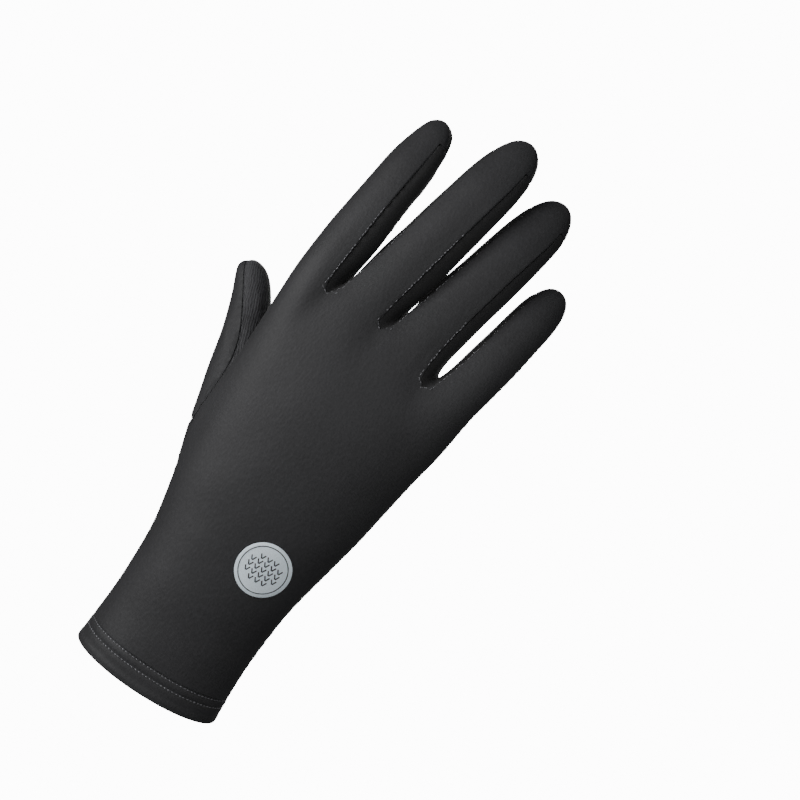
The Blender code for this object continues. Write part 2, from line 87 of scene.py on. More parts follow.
ROW_BREAK = 1.5 * MM            # a row of dots starts anew past a step this long
RAY_STEP = 0.2 * MM
RAY_REACH = 10 * MM             # rays and prints start this far outside the cloth
HEM_RAYS = 360
HEM_RAY_START = 0.1             # outside the cuff
STRIP_END = 1.5 * MM            # a side strip's seam this close to another seam is at the strip's end
FILM_RINGS = 6
FILM_GAP = 0.10 * MM
FILM_ROUND = 0.10 * MM
INK_GAP = 0.02 * MM
INK_THICKNESS = 0.05 * MM
BORDER_SHARE = 0.88             # the printed border's share of the badge's radius
PRINT_SHARE = 0.72              # and that of the loops inside it
LOOP_SPREAD = 0.19              # how far a loop's bars stand from its middle, as a share of its width
BAR_SHARE = 0.88                # a bar's share of a loop's height
FLOOR_LEVEL = -0.6
FLOOR_SIZE = 4.0
SWEEP_RADIUS = 0.8


def linear(hex_colour):
    """An sRGB hex colour as linear red, green, blue and alpha."""
    channels = [int(hex_colour[at:at + 2], 16) / 255 for at in (1, 3, 5)]
    return (*[c / 12.92 if c <= 0.04045 else ((c + 0.055) / 1.055) ** 2.4 for c in channels], 1.0)


# Panels of the glove. cut_width and cut_length are what each was cut to, flat, and area is its share of that
# rectangle: the hand stretches the knit.
Panel = namedtuple("Panel", "node piece face slot cut_width cut_length area")
PANELS = [
    Panel("back_panel", "back_cloth", "smooth", "smooth_knit", 0.098, 0.205, 0.66),
    Panel("palm_panel", "palm_cloth", "grip", "grip_knit", 0.083, 0.104, 0.62),
    Panel("wrist_panel", "wrist_cloth", "smooth", "smooth_knit", 0.090, 0.112, 0.52),
    Panel("fourchette_index_middle", "fourchette_index_middle_cloth", "strip", "strip_knit", 0.011, 0.132,
          0.90),
    Panel("fourchette_middle_ring", "fourchette_middle_ring_cloth", "strip", "strip_knit", 0.011, 0.138,
          0.90),
    Panel("fourchette_ring_little", "fourchette_ring_little_cloth", "strip", "strip_knit", 0.010, 0.116,
          0.90),
    Panel("index_tip_flap", "index_flap_cloth", "grip", "grip_knit", 0.018, 0.027, 0.84),
    Panel("thumb_back", "thumb_back_cloth", "smooth", "smooth_knit", 0.035, 0.056, 0.73),
    Panel("thumb_pad", "thumb_pad_cloth", "rib", "grip_knit", 0.026, 0.056, 0.70),
    Panel("cuff_hem", "hem_cloth", "smooth", "smooth_knit", 0.140, 0.010, 0.95),
]

HEM = "cuff_hem"
STRIPS = {panel.node for panel in PANELS if panel.face == "strip"}


def panel_of(node):
    return next(panel for panel in PANELS if panel.node == node)


# Creases along the thumb, on the side that is seen with the back of the hand. start and end are shares of the
# glove's width and height, and width and rise are lengths.
Fold = namedtuple("Fold", "start_across start_up end_across end_up width rise")
FOLDS = [
    Fold(0.075, 0.535, 0.150, 0.470, 1.5 * MM, 0.55 * MM),
    Fold(0.095, 0.560, 0.165, 0.505, 1.3 * MM, 0.45 * MM),
    Fold(0.065, 0.505, 0.140, 0.440, 1.4 * MM, 0.40 * MM),
    Fold(0.120, 0.585, 0.175, 0.545, 1.2 * MM, 0.35 * MM),
]
THUMB_ACROSS = (0.92, 0.17, 0.35)       # across the thumb, square to its ribs
WAVE_PERIOD = math.pi / 10      # the length of one band of Blender's wave texture at a scale of 1
HEM_SEAM_ROUND = 0.3            # share of the edge round where the hem is turned up
UNEVEN_RISE = 0.20 * MM         # the cloth's own unevenness
UNEVEN_SIZE = 13.0 * MM

# The soft lamps: their place from the glove's middle, their side and the setting that holds their power.
Lamp = namedtuple("Lamp", "name offset size power")
LAMPS = [
    Lamp("key_light", (-0.56, -0.36, 0.07), 0.35, "key_power"),
    Lamp("fill_light", (0.10, -1.00, 0.25), 1.0, "fill_power"),
    Lamp("side_light", (0.60, -0.30, -0.05), 0.40, "side_power"),
    Lamp("rear_key_light", (-0.15, 0.64, 0.10), 0.35, "key_power"),
    Lamp("rear_fill_light", (0.10, 1.00, 0.25), 1.0, "fill_power"),
]


class ClothSettings(bpy.types.PropertyGroup):
    """Sizes and colours of the sewn cloth"""
    edge_round: bpy.props.FloatProperty(
        name="Edge round", description="Radius of a panel's turned edge", default=0.28 * MM, unit="LENGTH")
    seam_dip: bpy.props.FloatProperty(
        name="Seam dip", description="How far a seam pulls the cloth in", default=0.40 * MM, unit="LENGTH")
    seam_reach: bpy.props.FloatProperty(
        name="Seam reach", description="Width of the cloth that a seam pulls in", default=2.4 * MM,
        unit="LENGTH")
    lip: bpy.props.FloatProperty(
        name="Lip", description="How far a cloth's edge stands up beside a side strip", default=0.34 * MM,
        unit="LENGTH")
    lip_reach: bpy.props.FloatProperty(
        name="Lip reach", description="Width of the cloth that stands up beside a side strip",
        default=3.2 * MM, unit="LENGTH")
    lip_fade: bpy.props.FloatProperty(
        name="Lip fade", description="How far from a side strip's end the lip has its full height",
        default=24.0 * MM, unit="LENGTH")
    turned_edge: bpy.props.FloatProperty(
        name="Turned edge", description="Width of the edge turned in round the open palm", default=3.0 * MM,
        unit="LENGTH")
    turned_rise: bpy.props.FloatProperty(
        name="Turned rise", description="How far the turned edge stands up", default=0.25 * MM, unit="LENGTH")
    smooth_colour: bpy.props.FloatVectorProperty(
        name="Smooth knit", description="Colour of the smooth knit", default=linear("#202022"), size=4,
        subtype="COLOR")
    grip_colour: bpy.props.FloatVectorProperty(
        name="Grip knit", description="Colour of the rough knit", default=linear("#191919"), size=4,
        subtype="COLOR")
    rib_colour: bpy.props.FloatVectorProperty(
        name="Ribbed knit", description="Colour of the thumb's ribbed knit", default=linear("#29292b"),
        size=4, subtype="COLOR")
    # Darker than the smooth knit as painted shade, because the side strips turn away between the fingers
    shaded_strip_colour: bpy.props.FloatVectorProperty(
        name="Strip knit", description="Colour of the side strips", default=linear("#1b1b1c"), size=4,
        subtype="COLOR")


class DotSettings(bpy.types.PropertyGroup):
    """Sizes and colour of the grip dots"""
    width: bpy.props.FloatProperty(
        name="Width", description="A dot's width", default=0.95 * MM, unit="LENGTH")
    length: bpy.props.FloatProperty(
        name="Length", description="A dot's length along the finger", default=1.45 * MM, unit="LENGTH")
    height: bpy.props.FloatProperty(
        name="Height", description="How far a dot stands up", default=0.32 * MM, unit="LENGTH")
    across: bpy.props.FloatProperty(
        name="Across", description="Pitch of the dots along a row", default=3.9 * MM, unit="LENGTH")
    row: bpy.props.FloatProperty(
        name="Row", description="Pitch of the rows", default=3.3 * MM, unit="LENGTH")
    colour: bpy.props.FloatVectorProperty(
        name="Silicone", description="Colour of the dots", default=linear("#101011"), size=4, subtype="COLOR")


class StitchSettings(bpy.types.PropertyGroup):
    """Sizes and colour of the stitches"""
    length: bpy.props.FloatProperty(
        name="Length", description="A stitch's length", default=0.82 * MM, unit="LENGTH")
    pitch: bpy.props.FloatProperty(
        name="Pitch", description="Pitch of the stitches", default=1.4 * MM, unit="LENGTH")
    thread: bpy.props.FloatProperty(
        name="Thread", description="Diameter of the thread", default=0.40 * MM, unit="LENGTH")
    # The stitches along the side strips' seams stand in for the highlight on the turned edge: painted
    # highlight
    seam_thread: bpy.props.FloatProperty(
        name="Seam thread", description="Diameter of the thread along a seam", default=0.28 * MM,
        unit="LENGTH")
    seam_edge: bpy.props.FloatProperty(
        name="Seam edge", description="How far the stitches lie from a seam", default=0.45 * MM,
        unit="LENGTH")
    seam_length: bpy.props.FloatProperty(
        name="Seam stitch", description="Length of a stitch along a seam", default=1.15 * MM, unit="LENGTH")
    seam_end: bpy.props.FloatProperty(
        name="Seam end", description="How far before a side strip's end its stitches stop", default=30.0 * MM,
        unit="LENGTH")
    # A needle's hole is drawn as a flat dark disc of painted shade
    hole: bpy.props.FloatProperty(
        name="Hole", description="Diameter of a needle's hole", default=0.58 * MM, unit="LENGTH")
    row_dip: bpy.props.FloatProperty(
        name="Row dip", description="How far a row of stitches pulls the hem in", default=0.20 * MM,
        unit="LENGTH")
    row_reach: bpy.props.FloatProperty(
        name="Row reach", description="How far from a row of stitches the hem is pulled in", default=0.9 * MM,
        unit="LENGTH")
    lower_row: bpy.props.FloatProperty(
        name="Lower row", description="Height of the lower row over the cuff's edge", default=5.8 * MM,
        unit="LENGTH")
    upper_row: bpy.props.FloatProperty(
        name="Upper row", description="Height of the upper row over the cuff's edge", default=8.6 * MM,
        unit="LENGTH")
    # This light grey serves the hem's stitches, and also the seam stitches beside the side strips, where it
    # is painted highlight
    colour: bpy.props.FloatVectorProperty(
        name="Thread colour", description="Colour of the thread", default=linear("#606064"), size=4,
        subtype="COLOR")


class BadgeSettings(bpy.types.PropertyGroup):
    """Sizes and colours of the badge"""
    film: bpy.props.FloatProperty(
        name="Film", description="Thickness of the film", default=0.30 * MM, unit="LENGTH")
    sides: bpy.props.IntProperty(name="Sides", description="Corners of the round outline", default=96, min=24)
    line: bpy.props.FloatProperty(
        name="Line", description="Width of the printed lines", default=0.32 * MM, unit="LENGTH")
    bar: bpy.props.FloatProperty(
        name="Bar", description="Width of the printed bars", default=0.42 * MM, unit="LENGTH")
    columns: bpy.props.IntProperty(name="Columns", description="Printed loops across", default=5, min=1)
    rows: bpy.props.IntProperty(name="Rows", description="Printed loops up", default=7, min=1)
    loop_width: bpy.props.FloatProperty(
        name="Loop width", description="Pitch of the printed loops across", default=2.4 * MM, unit="LENGTH")
    loop_height: bpy.props.FloatProperty(
        name="Loop height", description="Pitch of the printed loops up", default=1.9 * MM, unit="LENGTH")
    loop_lean: bpy.props.FloatProperty(
        name="Loop lean", description="Lean of a printed bar", default=math.radians(28), subtype="ANGLE")
    colour: bpy.props.FloatVectorProperty(
        name="Film colour", description="Colour of the film", default=linear("#deebf3"), size=4,
        subtype="COLOR")
    ink: bpy.props.FloatVectorProperty(
        name="Ink", description="Colour of the print", default=linear("#34353a"), size=4, subtype="COLOR")


class StageSettings(bpy.types.PropertyGroup):
    """Places and strengths of the camera and the studio"""
    camera_place: bpy.props.FloatVectorProperty(
        name="Camera", description="Place of the camera", default=(0.020, -0.372, 0.124),
        subtype="TRANSLATION", unit="LENGTH")
    camera_roll: bpy.props.FloatProperty(
        name="Roll", description="How far the glove leans to the right in the picture",
        default=math.radians(33.5), subtype="ANGLE")
    lens: bpy.props.FloatProperty(
        name="Lens", description="Focal length in millimetres", default=50.0, unit="CAMERA")
    floor_colour: bpy.props.FloatVectorProperty(
        name="Floor", description="Colour of the floor", default=linear("#f4f4f4"), size=4, subtype="COLOR")
    key_power: bpy.props.FloatProperty(
        name="Key", description="Power of the key light", default=5.6, subtype="POWER")
    fill_power: bpy.props.FloatProperty(
        name="Fill", description="Power of the fill light", default=6.0, subtype="POWER")
    side_power: bpy.props.FloatProperty(
        name="Side", description="Power of the weak light on the little finger's side", default=0.7,
        subtype="POWER")
    paper_glow: bpy.props.FloatProperty(
        name="Paper glow", description="How brightly the paper is lit through from behind", default=14.0,
        min=0)
    room: bpy.props.FloatProperty(
        name="Room", description="Brightness of the room behind the set", default=14.0, min=0)


def make_active(thing):
    """Selects one object alone and makes it the active one."""
    if bpy.context.mode != "OBJECT":
        bpy.ops.object.mode_set(mode="OBJECT")
    bpy.ops.object.select_all(action="DESELECT")
    thing.select_set(True)
    bpy.context.view_layer.objects.active = thing


def apply_modifier(thing, kind, **settings):
    """Adds a modifier with its settings and applies it."""
    modifier = thing.modifiers.new(kind.lower(), kind)
    for name, value in settings.items():
        setattr(modifier, name, value)
    make_active(thing)
    bpy.ops.object.modifier_apply(modifier=modifier.name)


def subdivide_smooth(thing, levels):
    apply_modifier(thing, "SUBSURF", levels=levels, render_levels=levels)


def coordinates(mesh):
    places = np.empty(len(mesh.vertices) * 3, np.float32)
    mesh.vertices.foreach_get("co", places)
    return places.reshape(-1, 3)


def set_coordinates(mesh, places):
    mesh.vertices.foreach_set("co", places.astype(np.float32).ravel())
    mesh.update()


def tree_of(places):
    tree = KDTree(len(places))
    for number, place in enumerate(places):
        tree.insert(place, number)
    tree.balance()
    return tree


def surface_of(things):
    """One tree over the faces of several objects, for rays and nearest points."""
    places, faces = [], []
    for thing in things:
        base = len(places)
        places += [vertex.co.copy() for vertex in thing.data.vertices]
        faces += [[base + corner for corner in face.vertices] for face in thing.data.polygons]
    return BVHTree.FromPolygons(places, faces)


def merged_copy(node, piece_name):
    """A copy of a CAD node's mesh as a piece of its own, with its corners merged and its faces four-sided."""
    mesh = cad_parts[node].data.copy()
    mesh.name = piece_name
    mesh.materials.clear()
    piece = bpy.data.objects.new(piece_name, mesh)
    bpy.context.scene.collection.objects.link(piece)
    make_active(piece)
    if mesh.has_custom_normals:
        bpy.ops.mesh.customdata_custom_splitnormals_clear()
    bpy.ops.object.mode_set(mode="EDIT")
    bpy.ops.mesh.select_all(action="SELECT")
    bpy.ops.mesh.remove_doubles(threshold=MERGE)
    bpy.ops.mesh.remove_doubles(threshold=SHORTEST_EDGE)
    bpy.ops.mesh.mark_sharp(clear=True)
    bpy.ops.mesh.tris_convert_to_quads(face_threshold=math.radians(40), shape_threshold=math.radians(60))
    bpy.ops.object.mode_set(mode="OBJECT")
    return piece


def walls_crossed(everything, place, direction):
    """How many cloth walls a ray meets on its way out of the scene."""
    met = 0
    while True:
        hit, normal, number, distance = everything.ray_cast(place, direction)
        if hit is None:
            return met // 2
        met += 1
        place = hit + direction * MERGE


def sort_faces(piece, everything):
    """Parts a closed cloth into its face, its reverse and the rims between them.

    A rim has no corner off the sharp edges. From the face of the cloth a ray out of the glove crosses an
    even number of walls, as it does past another finger, and from its reverse an odd number."""
    shape = bmesh.new()
    shape.from_mesh(piece.data)
    sharp = {edge for edge in shape.edges if edge.is_manifold and edge.calc_face_angle() > RIM_ANGLE}
    edge_corners = {vertex for edge in sharp for vertex in edge.verts}
    kinds = [None] * len(shape.faces)
    seen = set()
    for first in shape.faces:
        if first in seen:
            continue
        group, waiting = [], [first]
        seen.add(first)
        while waiting:
            face = waiting.pop()
            group.append(face)
            for edge in face.edges:
                if edge not in sharp:
                    for other in edge.link_faces:
                        if other not in seen:
                            seen.add(other)
                            waiting.append(other)
        if all(vertex in edge_corners for face in group for vertex in face.verts):
            kind = "rim"
        else:
            outside = [(face.calc_center_median() + face.normal * NEIGHBOUR, face.normal) for face in group]
            odd = sum(walls_crossed(everything, place, normal) % 2 for place, normal in outside)
            kind = "reverse" if odd * 2 > len(group) else "face"
        for face in group:
            kinds[face.index] = kind
    shape.free()
    return kinds


def seam_lines(piece, kinds, neighbours):
    """The lines on a cloth's face along which side strips are sewn to it, each as points in order."""
    shape = bmesh.new()
    shape.from_mesh(piece.data)
    waiting = set()
    for edge in shape.edges:
        numbers = [face.index for face in edge.link_faces]
        at_strip = any(STRIPS.intersection(neighbours.get(number, [])) for number in numbers)
        if at_strip and any(kinds[number] == "face" for number in numbers):
            waiting.add(edge)
    lines = []
    for first in sorted(waiting, key=lambda edge: edge.index):
        if first not in waiting:
            continue
        waiting.remove(first)
        line = list(first.verts)
        for end in range(2):
            following = first
            while following:
                following = next((edge for edge in line[-1].link_edges if edge in waiting), None)
                if following:
                    waiting.remove(following)
                    line.append(following.other_vert(line[-1]))
            line.reverse()
        lines.append([vertex.co.copy() for vertex in line])
    shape.free()
    return lines


class Glove:
    """What the pieces share: the sorted cloths, and where their seams and open edges run."""

    cloths = {}
    kinds = {}
    neighbours = {}
    strip_lines = {}
    seams = None
    strip_seams = None
    strip_ends = None
    open_edges = None
    rims = None

    @classmethod
    def read(cls):
        """Copies each panel's mesh, sorts its faces and finds what each rim is sewn to, once."""
        if cls.cloths:
            return
        everything = surface_of([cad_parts[panel.node] for panel in PANELS])
        for panel in PANELS:
            piece = merged_copy(panel.node, panel.piece)
            cls.cloths[panel.node] = piece
            cls.kinds[panel.node] = sort_faces(piece, everything)
        surfaces = {panel.node: surface_of([cls.cloths[panel.node]]) for panel in PANELS}
        seam_places, strip_places, open_places = [], [], []
        for panel in PANELS:
            piece = cls.cloths[panel.node]
            cls.neighbours[panel.node] = {}
            for face, kind in zip(piece.data.polygons, cls.kinds[panel.node]):
                if kind != "rim":
                    continue
                sewn_to = [node for node, surface in surfaces.items() if node != panel.node
                           and surface.find_nearest(face.center, NEIGHBOUR)[0] is not None]
                cls.neighbours[panel.node][face.index] = sewn_to
                corners = [piece.data.vertices[corner].co for corner in face.vertices]
                places = corners + [(a + b) / 2 for a, b in zip(corners, corners[1:] + corners[:1])]
                if not sewn_to:
                    open_places += places
                elif STRIPS & {panel.node, *sewn_to}:
                    strip_places += places
                elif HEM not in sewn_to and panel.node != HEM:
                    seam_places += places
            if panel.node not in STRIPS:
                kinds, neighbours = cls.kinds[panel.node], cls.neighbours[panel.node]
                cls.strip_lines[panel.node] = seam_lines(piece, kinds, neighbours)
        cls.seams = tree_of(seam_places)
        cls.strip_seams = tree_of(strip_places)
        cls.strip_ends = tree_of([place for place in strip_places if cls.seams.find(place)[2] < STRIP_END])
        cls.open_edges = tree_of(open_places)
        cls.rims = tree_of(seam_places + strip_places + open_places)


def outward_directions(piece):
    """At each point of a cloth, the way out of the glove: its face's normal, or its reverse's negative."""
    mesh = piece.data
    signed = np.zeros((len(mesh.vertices), 3))
    for face in mesh.polygons:
        if face.material_index == OUTSIDE:
            sign = 1
        elif face.material_index == INSIDE:
            sign = -1
        else:
            continue
        for corner in face.vertices:
            signed[corner] += np.array(face.normal) * (sign * face.area)
    lengths = np.linalg.norm(signed, axis=1)
    known = np.flatnonzero(lengths > 1e-12)
    places = coordinates(mesh)
    tree = tree_of([places[number] for number in known])
    for number in np.flatnonzero(lengths <= 1e-12):
        nearest = known[tree.find(places[number])[1]]
        signed[number] = signed[nearest]
        lengths[number] = lengths[nearest]
    return signed / lengths[:, None]


def ease(share):
    """A smooth step from 0 to 1."""
    share = min(1.0, max(0.0, share))
    return share * share * (3 - 2 * share)


def fold_rise(place, outward):
    """How far the creases lift the cloth at a place that faces as the back of the hand does."""
    facing = -outward[1]
    if facing <= 0:
        return 0.0
    rise = 0.0
    size = BOX_HIGH - BOX_LOW
    for fold in FOLDS:
        start = Vector((BOX_LOW.x + fold.start_across * size.x, BOX_LOW.z + fold.start_up * size.z))
        end = Vector((BOX_LOW.x + fold.end_across * size.x, BOX_LOW.z + fold.end_up * size.z))
        here = Vector((place[0], place[2]))
        along = (here - start).dot(end - start) / (end - start).length_squared
        off = (here - start.lerp(end, min(1.0, max(0.0, along)))).length
        fade = ease(1 - abs(2 * along - 1)) if 0 < along < 1 else 0.0
        rise += fold.rise * math.exp(-(off / fold.width) ** 2) * fade * min(1.0, facing * 2)
    return rise


def row_pull(place, stitches):
    """How far the two rows of stitches pull the hem in at a place."""
    gap = min(abs(place[2] - BOX_LOW.z - height) for height in (stitches.lower_row, stitches.upper_row))
    return stitches.row_dip * ease(1 - gap / stitches.row_reach)


def shape_cloth(piece, panel, cloth):
    """Pulls the seams and stitched rows in, lifts the turned edge of the open palm and lays the folds."""
    places = coordinates(piece.data)
    outward = outward_directions(piece)
    moves = np.zeros(len(places))
    for number, place in enumerate(places):
        seam_gap = Glove.seams.find(place)[2]
        strip_gap = Glove.strip_seams.find(place)[2]
        edge_gap = Glove.open_edges.find(place)[2]
        dip = cloth.seam_dip * ease(1 - seam_gap / cloth.seam_reach)
        webbed = ease(Glove.strip_ends.find(place)[2] / cloth.lip_fade)
        if panel.node in STRIPS:
            dip += cloth.seam_dip * ease(1 - strip_gap / cloth.seam_reach) * webbed
        else:
            dip -= cloth.lip * ease(1 - strip_gap / cloth.lip_reach) * webbed
        turned = cloth.turned_rise * ease((cloth.turned_edge - edge_gap) / (0.5 * cloth.turned_edge))
        uneven = noise.noise(Vector(place) / UNEVEN_SIZE) * UNEVEN_RISE
        calm = ease(min(seam_gap, strip_gap, edge_gap) / cloth.seam_reach)
        moves[number] = turned - dip + uneven * calm + fold_rise(place, outward[number])
        if panel.node == HEM:
            moves[number] -= row_pull(place, bpy.context.scene.glove_stitches)
    set_coordinates(piece.data, places + outward * moves[:, None])


def close_hem_seam(piece, panel):
    """The hem is the same cloth turned up, so its upper rim meets the panels above it with no gap."""
    if panel.node != HEM:
        return
    above = min(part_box("back_panel")[0].z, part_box("wrist_panel")[0].z)
    top = max(vertex.co.z for vertex in piece.data.vertices)
    for vertex in piece.data.vertices:
        if top - vertex.co.z < NEIGHBOUR:
            vertex.co.z = above


def weigh_edges(piece, panel):
    """Rims are rounded in full, and where the hem is turned up hardly at all."""
    mesh = piece.data
    shape = bmesh.new()
    shape.from_mesh(mesh)
    weights = shape.edges.layers.float.new("bevel_weight_edge")
    sewn_to = Glove.neighbours[panel.node]
    for edge in shape.edges:
        if not edge.is_manifold or edge.calc_face_angle() < RIM_ANGLE:
            continue
        rims = [face.index for face in edge.link_faces if face.index in sewn_to]
        at_hem = any(HEM in sewn_to[rim] or (panel.node == HEM and sewn_to[rim]) for rim in rims)
        edge[weights] = HEM_SEAM_ROUND if at_hem else 1.0
    shape.to_mesh(mesh)
    shape.free()


def sew(panel, settings, levels=2):
    """Makes one panel's cloth: turned edges, a smooth surface, pulled seams and folds."""
    Glove.read()
    piece = Glove.cloths[panel.node]
    finishes = {"smooth": jersey_face, "grip": grip_face, "strip": strip_face, "rib": rib_face}
    face_finish = finishes[panel.face](settings)
    for finish in (face_finish, jersey_reverse(settings), face_finish):
        piece.data.materials.append(finish)
    slots = {"face": OUTSIDE, "reverse": INSIDE, "rim": RIM}
    for face, kind in zip(piece.data.polygons, Glove.kinds[panel.node]):
        face.material_index = slots[kind]
    close_hem_seam(piece, panel)
    weigh_edges(piece, panel)
    apply_modifier(piece, "BEVEL", width=settings.edge_round, segments=2, limit_method="WEIGHT",
                   use_clamp_overlap=False)
    subdivide_smooth(piece, levels)
    shape_cloth(piece, panel, settings)
    piece.data.shade_smooth()
    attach(piece, BODY)
    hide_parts(panel.node)
    return piece


def add_node(tree, kind, settings=None, links=None):
    """Adds a node, sets its own values and those of its inputs, and links its inputs."""
    node = tree.nodes.new(kind)
    for name, value in (settings or {}).items():
        if name in node.inputs:
            node.inputs[name].default_value = value
        else:
            setattr(node, name, value)
    for name, source in (links or {}).items():
        tree.links.new(source, node.inputs[name])
    return node


def new_material(name):
    """A material with an empty principled shader, or the one of that name if it is made already."""
    made = bpy.data.materials.get(name)
    if made is not None and made.get("finished"):
        return made, None, None
    made = bpy.data.materials.new(name)
    made["finished"] = True
    made.use_nodes = True
    return made, made.node_tree, made.node_tree.nodes["Principled BSDF"]


def set_shader(shader, **values):
    for name, value in values.items():
        shader.inputs[name.replace("_", " ").title().replace("Ior", "IOR")].default_value = value


def shaded(colour, factor):
    return (*[channel * factor for channel in colour[:3]], 1.0)


def dress_shader(tree, shader, factor, low, high, ends=(0.35, 0.65), height=None, strength=0.0, depth=0.0):
    """Gives a shader a colour that runs from low to high with a factor, and a relief if it has a height."""
    ramp = add_node(tree, "ShaderNodeValToRGB", links={"Fac": factor})
    for element, position, colour in zip(ramp.color_ramp.elements, ends, (low, high)):
        element.position = position
        element.color = colour
    tree.links.new(ramp.outputs["Color"], shader.inputs["Base Color"])
    if height:
        bump = add_node(tree, "ShaderNodeBump", {"Strength": strength, "Distance": depth}, {"Height": height})
        tree.links.new(bump.outputs["Normal"], shader.inputs["Normal"])


def knit(name, colour, stitch_size, depth, contrast, roughness, sheen, rib=0, across=(1, 0, 0)):
    """A weft knit: loops drawn out along the fingers, over slow changes of tone, and ribs if it has any."""
    made, tree, shader = new_material(name)
    if tree is None:
        return made
    place = add_node(tree, "ShaderNodeTexCoord").outputs["Object"]
    drawn = add_node(tree, "ShaderNodeMapping", {"Scale": (1.0, 1.0, 0.5)}, {"Vector": place})
    loops = add_node(tree, "ShaderNodeTexVoronoi", {"Scale": 1 / stitch_size},
                     {"Vector": drawn.outputs["Vector"]})
    lint = add_node(tree, "ShaderNodeTexNoise", {"Scale": 0.5 / stitch_size, "Detail": 3.0},
                    {"Vector": place})
    wear = add_node(tree, "ShaderNodeTexNoise", {"Scale": 1 / (22.2 * MM), "Detail": 2.0}, {"Vector": place})
    grain = add_node(tree, "ShaderNodeMath", {"operation": "MULTIPLY"})
    tree.links.new(loops.outputs["Distance"], grain.inputs[0])
    tree.links.new(lint.outputs["Fac"], grain.inputs[1])
    if rib:
        turned = Vector((1, 0, 0)).rotation_difference(Vector(across)).inverted().to_euler()
        upright = add_node(tree, "ShaderNodeMapping", {"Rotation": turned}, {"Vector": place})
        ribs = add_node(tree, "ShaderNodeTexWave",
                        {"Scale": WAVE_PERIOD / rib, "Distortion": 7.0, "Detail": 3.0, "Detail Scale": 0.6},
                        {"Vector": upright.outputs["Vector"]})
        loops_alone = grain
        grain = add_node(tree, "ShaderNodeMath", {"operation": "MULTIPLY_ADD"})
        tree.links.new(ribs.outputs["Fac"], grain.inputs[0])
        grain.inputs[1].default_value = 0.5
        tree.links.new(loops_alone.outputs["Value"], grain.inputs[2])
    tone = add_node(tree, "ShaderNodeMath", {"operation": "ADD"})
    tree.links.new(wear.outputs["Fac"], tone.inputs[0])
    tree.links.new(grain.outputs["Value"], tone.inputs[1])
    dark, light = shaded(colour, 1 - contrast), shaded(colour, 1 + contrast)
    dress_shader(tree, shader, tone.outputs["Value"], dark, light, (0.45, 0.95), grain.outputs["Value"], 0.6,
                 depth)
    set_shader(shader, roughness=roughness, sheen_weight=sheen, sheen_roughness=0.45, specular_ior_level=0.35)
    return made


def jersey_face(cloth):
    # Nylon and elastane jersey, knitted fine and heat set: matt, with a soft sheen where it turns away. Its
    # loops are drawn three times coarser than the real ones, which are too fine to show, as in all the knits
    return knit("nylon_elastane_jersey", cloth.smooth_colour, 0.85 * MM, 0.18 * MM, 0.16, 0.66, 0.08)


def grip_face(cloth):
    # Coarse tuck knit under the grip dots: rougher and darker than the jersey, with a pebbled grain
    return knit("tuck_knit", cloth.grip_colour, 1.1 * MM, 0.30 * MM, 0.45, 0.80, 0.12)


def rib_face(cloth):
    # The grip knit drawn tight round the thumb, where its ribs stand apart in fine upright lines
    return knit("ribbed_tuck_knit", cloth.rib_colour, 1.1 * MM, 0.30 * MM, 0.36, 0.72, 0.10, 0.85 * MM,
                THUMB_ACROSS)


def strip_face(cloth):
    # The jersey of the side strips, which lies in the shade: its colour is set darker than the smooth
    # jersey's as painted shade
    return knit("side_strip_jersey", cloth.shaded_strip_colour, 0.75 * MM, 0.10 * MM, 0.12, 0.72, 0.06)


def jersey_reverse(cloth):
    # The jersey's own reverse, duller than its face, in the side strips' colour, which is darkened as painted
    # shade
    return knit("jersey_reverse", cloth.shaded_strip_colour, 0.9 * MM, 0.16 * MM, 0.20, 0.85, 0.10)


class GLOVE_OT_sew_back(bpy.types.Operator):
    """Sews the smooth cloth over the back of the hand and the fingers"""
    bl_idname = "glove.sew_back"
    bl_label = "Sew back"

    def execute(self, context):
        sew(panel_of("back_panel"), context.scene.glove_cloth)
        return {"FINISHED"}


class GLOVE_OT_sew_palm(bpy.types.Operator):
    """Sews the rough cloth over the palm side of the fingers"""
    bl_idname = "glove.sew_palm"
    bl_label = "Sew palm"

    def execute(self, context):
        sew(panel_of("palm_panel"), context.scene.glove_cloth)
        return {"FINISHED"}


class GLOVE_OT_sew_wrist(bpy.types.Operator):
    """Sews the smooth cloth round the open palm"""
    bl_idname = "glove.sew_wrist"
    bl_label = "Sew wrist"

    def execute(self, context):
        sew(panel_of("wrist_panel"), context.scene.glove_cloth)
        return {"FINISHED"}


class GLOVE_OT_sew_strips(bpy.types.Operator):
    """Sews the three side strips between the fingers"""
    bl_idname = "glove.sew_strips"
    bl_label = "Sew side strips"

    def execute(self, context):
        for panel in PANELS:
            if panel.face == "strip":
                sew(panel, context.scene.glove_cloth)
        return {"FINISHED"}


class GLOVE_OT_sew_fingertip(bpy.types.Operator):
    """Sews the flap of the fingertip that opens"""
    bl_idname = "glove.sew_fingertip"
    bl_label = "Sew fingertip"

    def execute(self, context):
        sew(panel_of("index_tip_flap"), context.scene.glove_cloth, levels=3)
        return {"FINISHED"}


class GLOVE_OT_sew_thumb(bpy.types.Operator):
    """Sews the thumb's smooth back and rough pad"""
    bl_idname = "glove.sew_thumb"
    bl_label = "Sew thumb"

    def execute(self, context):
        sew(panel_of("thumb_back"), context.scene.glove_cloth, levels=3)
        sew(panel_of("thumb_pad"), context.scene.glove_cloth, levels=3)
        return {"FINISHED"}


class GLOVE_OT_sew_hem(bpy.types.Operator):
    """Sews the doubled hem at the cuff's mouth"""
    bl_idname = "glove.sew_hem"
    bl_label = "Sew hem"

    def execute(self, context):
        sew(panel_of("cuff_hem"), context.scene.glove_cloth, levels=3)
        return {"FINISHED"}


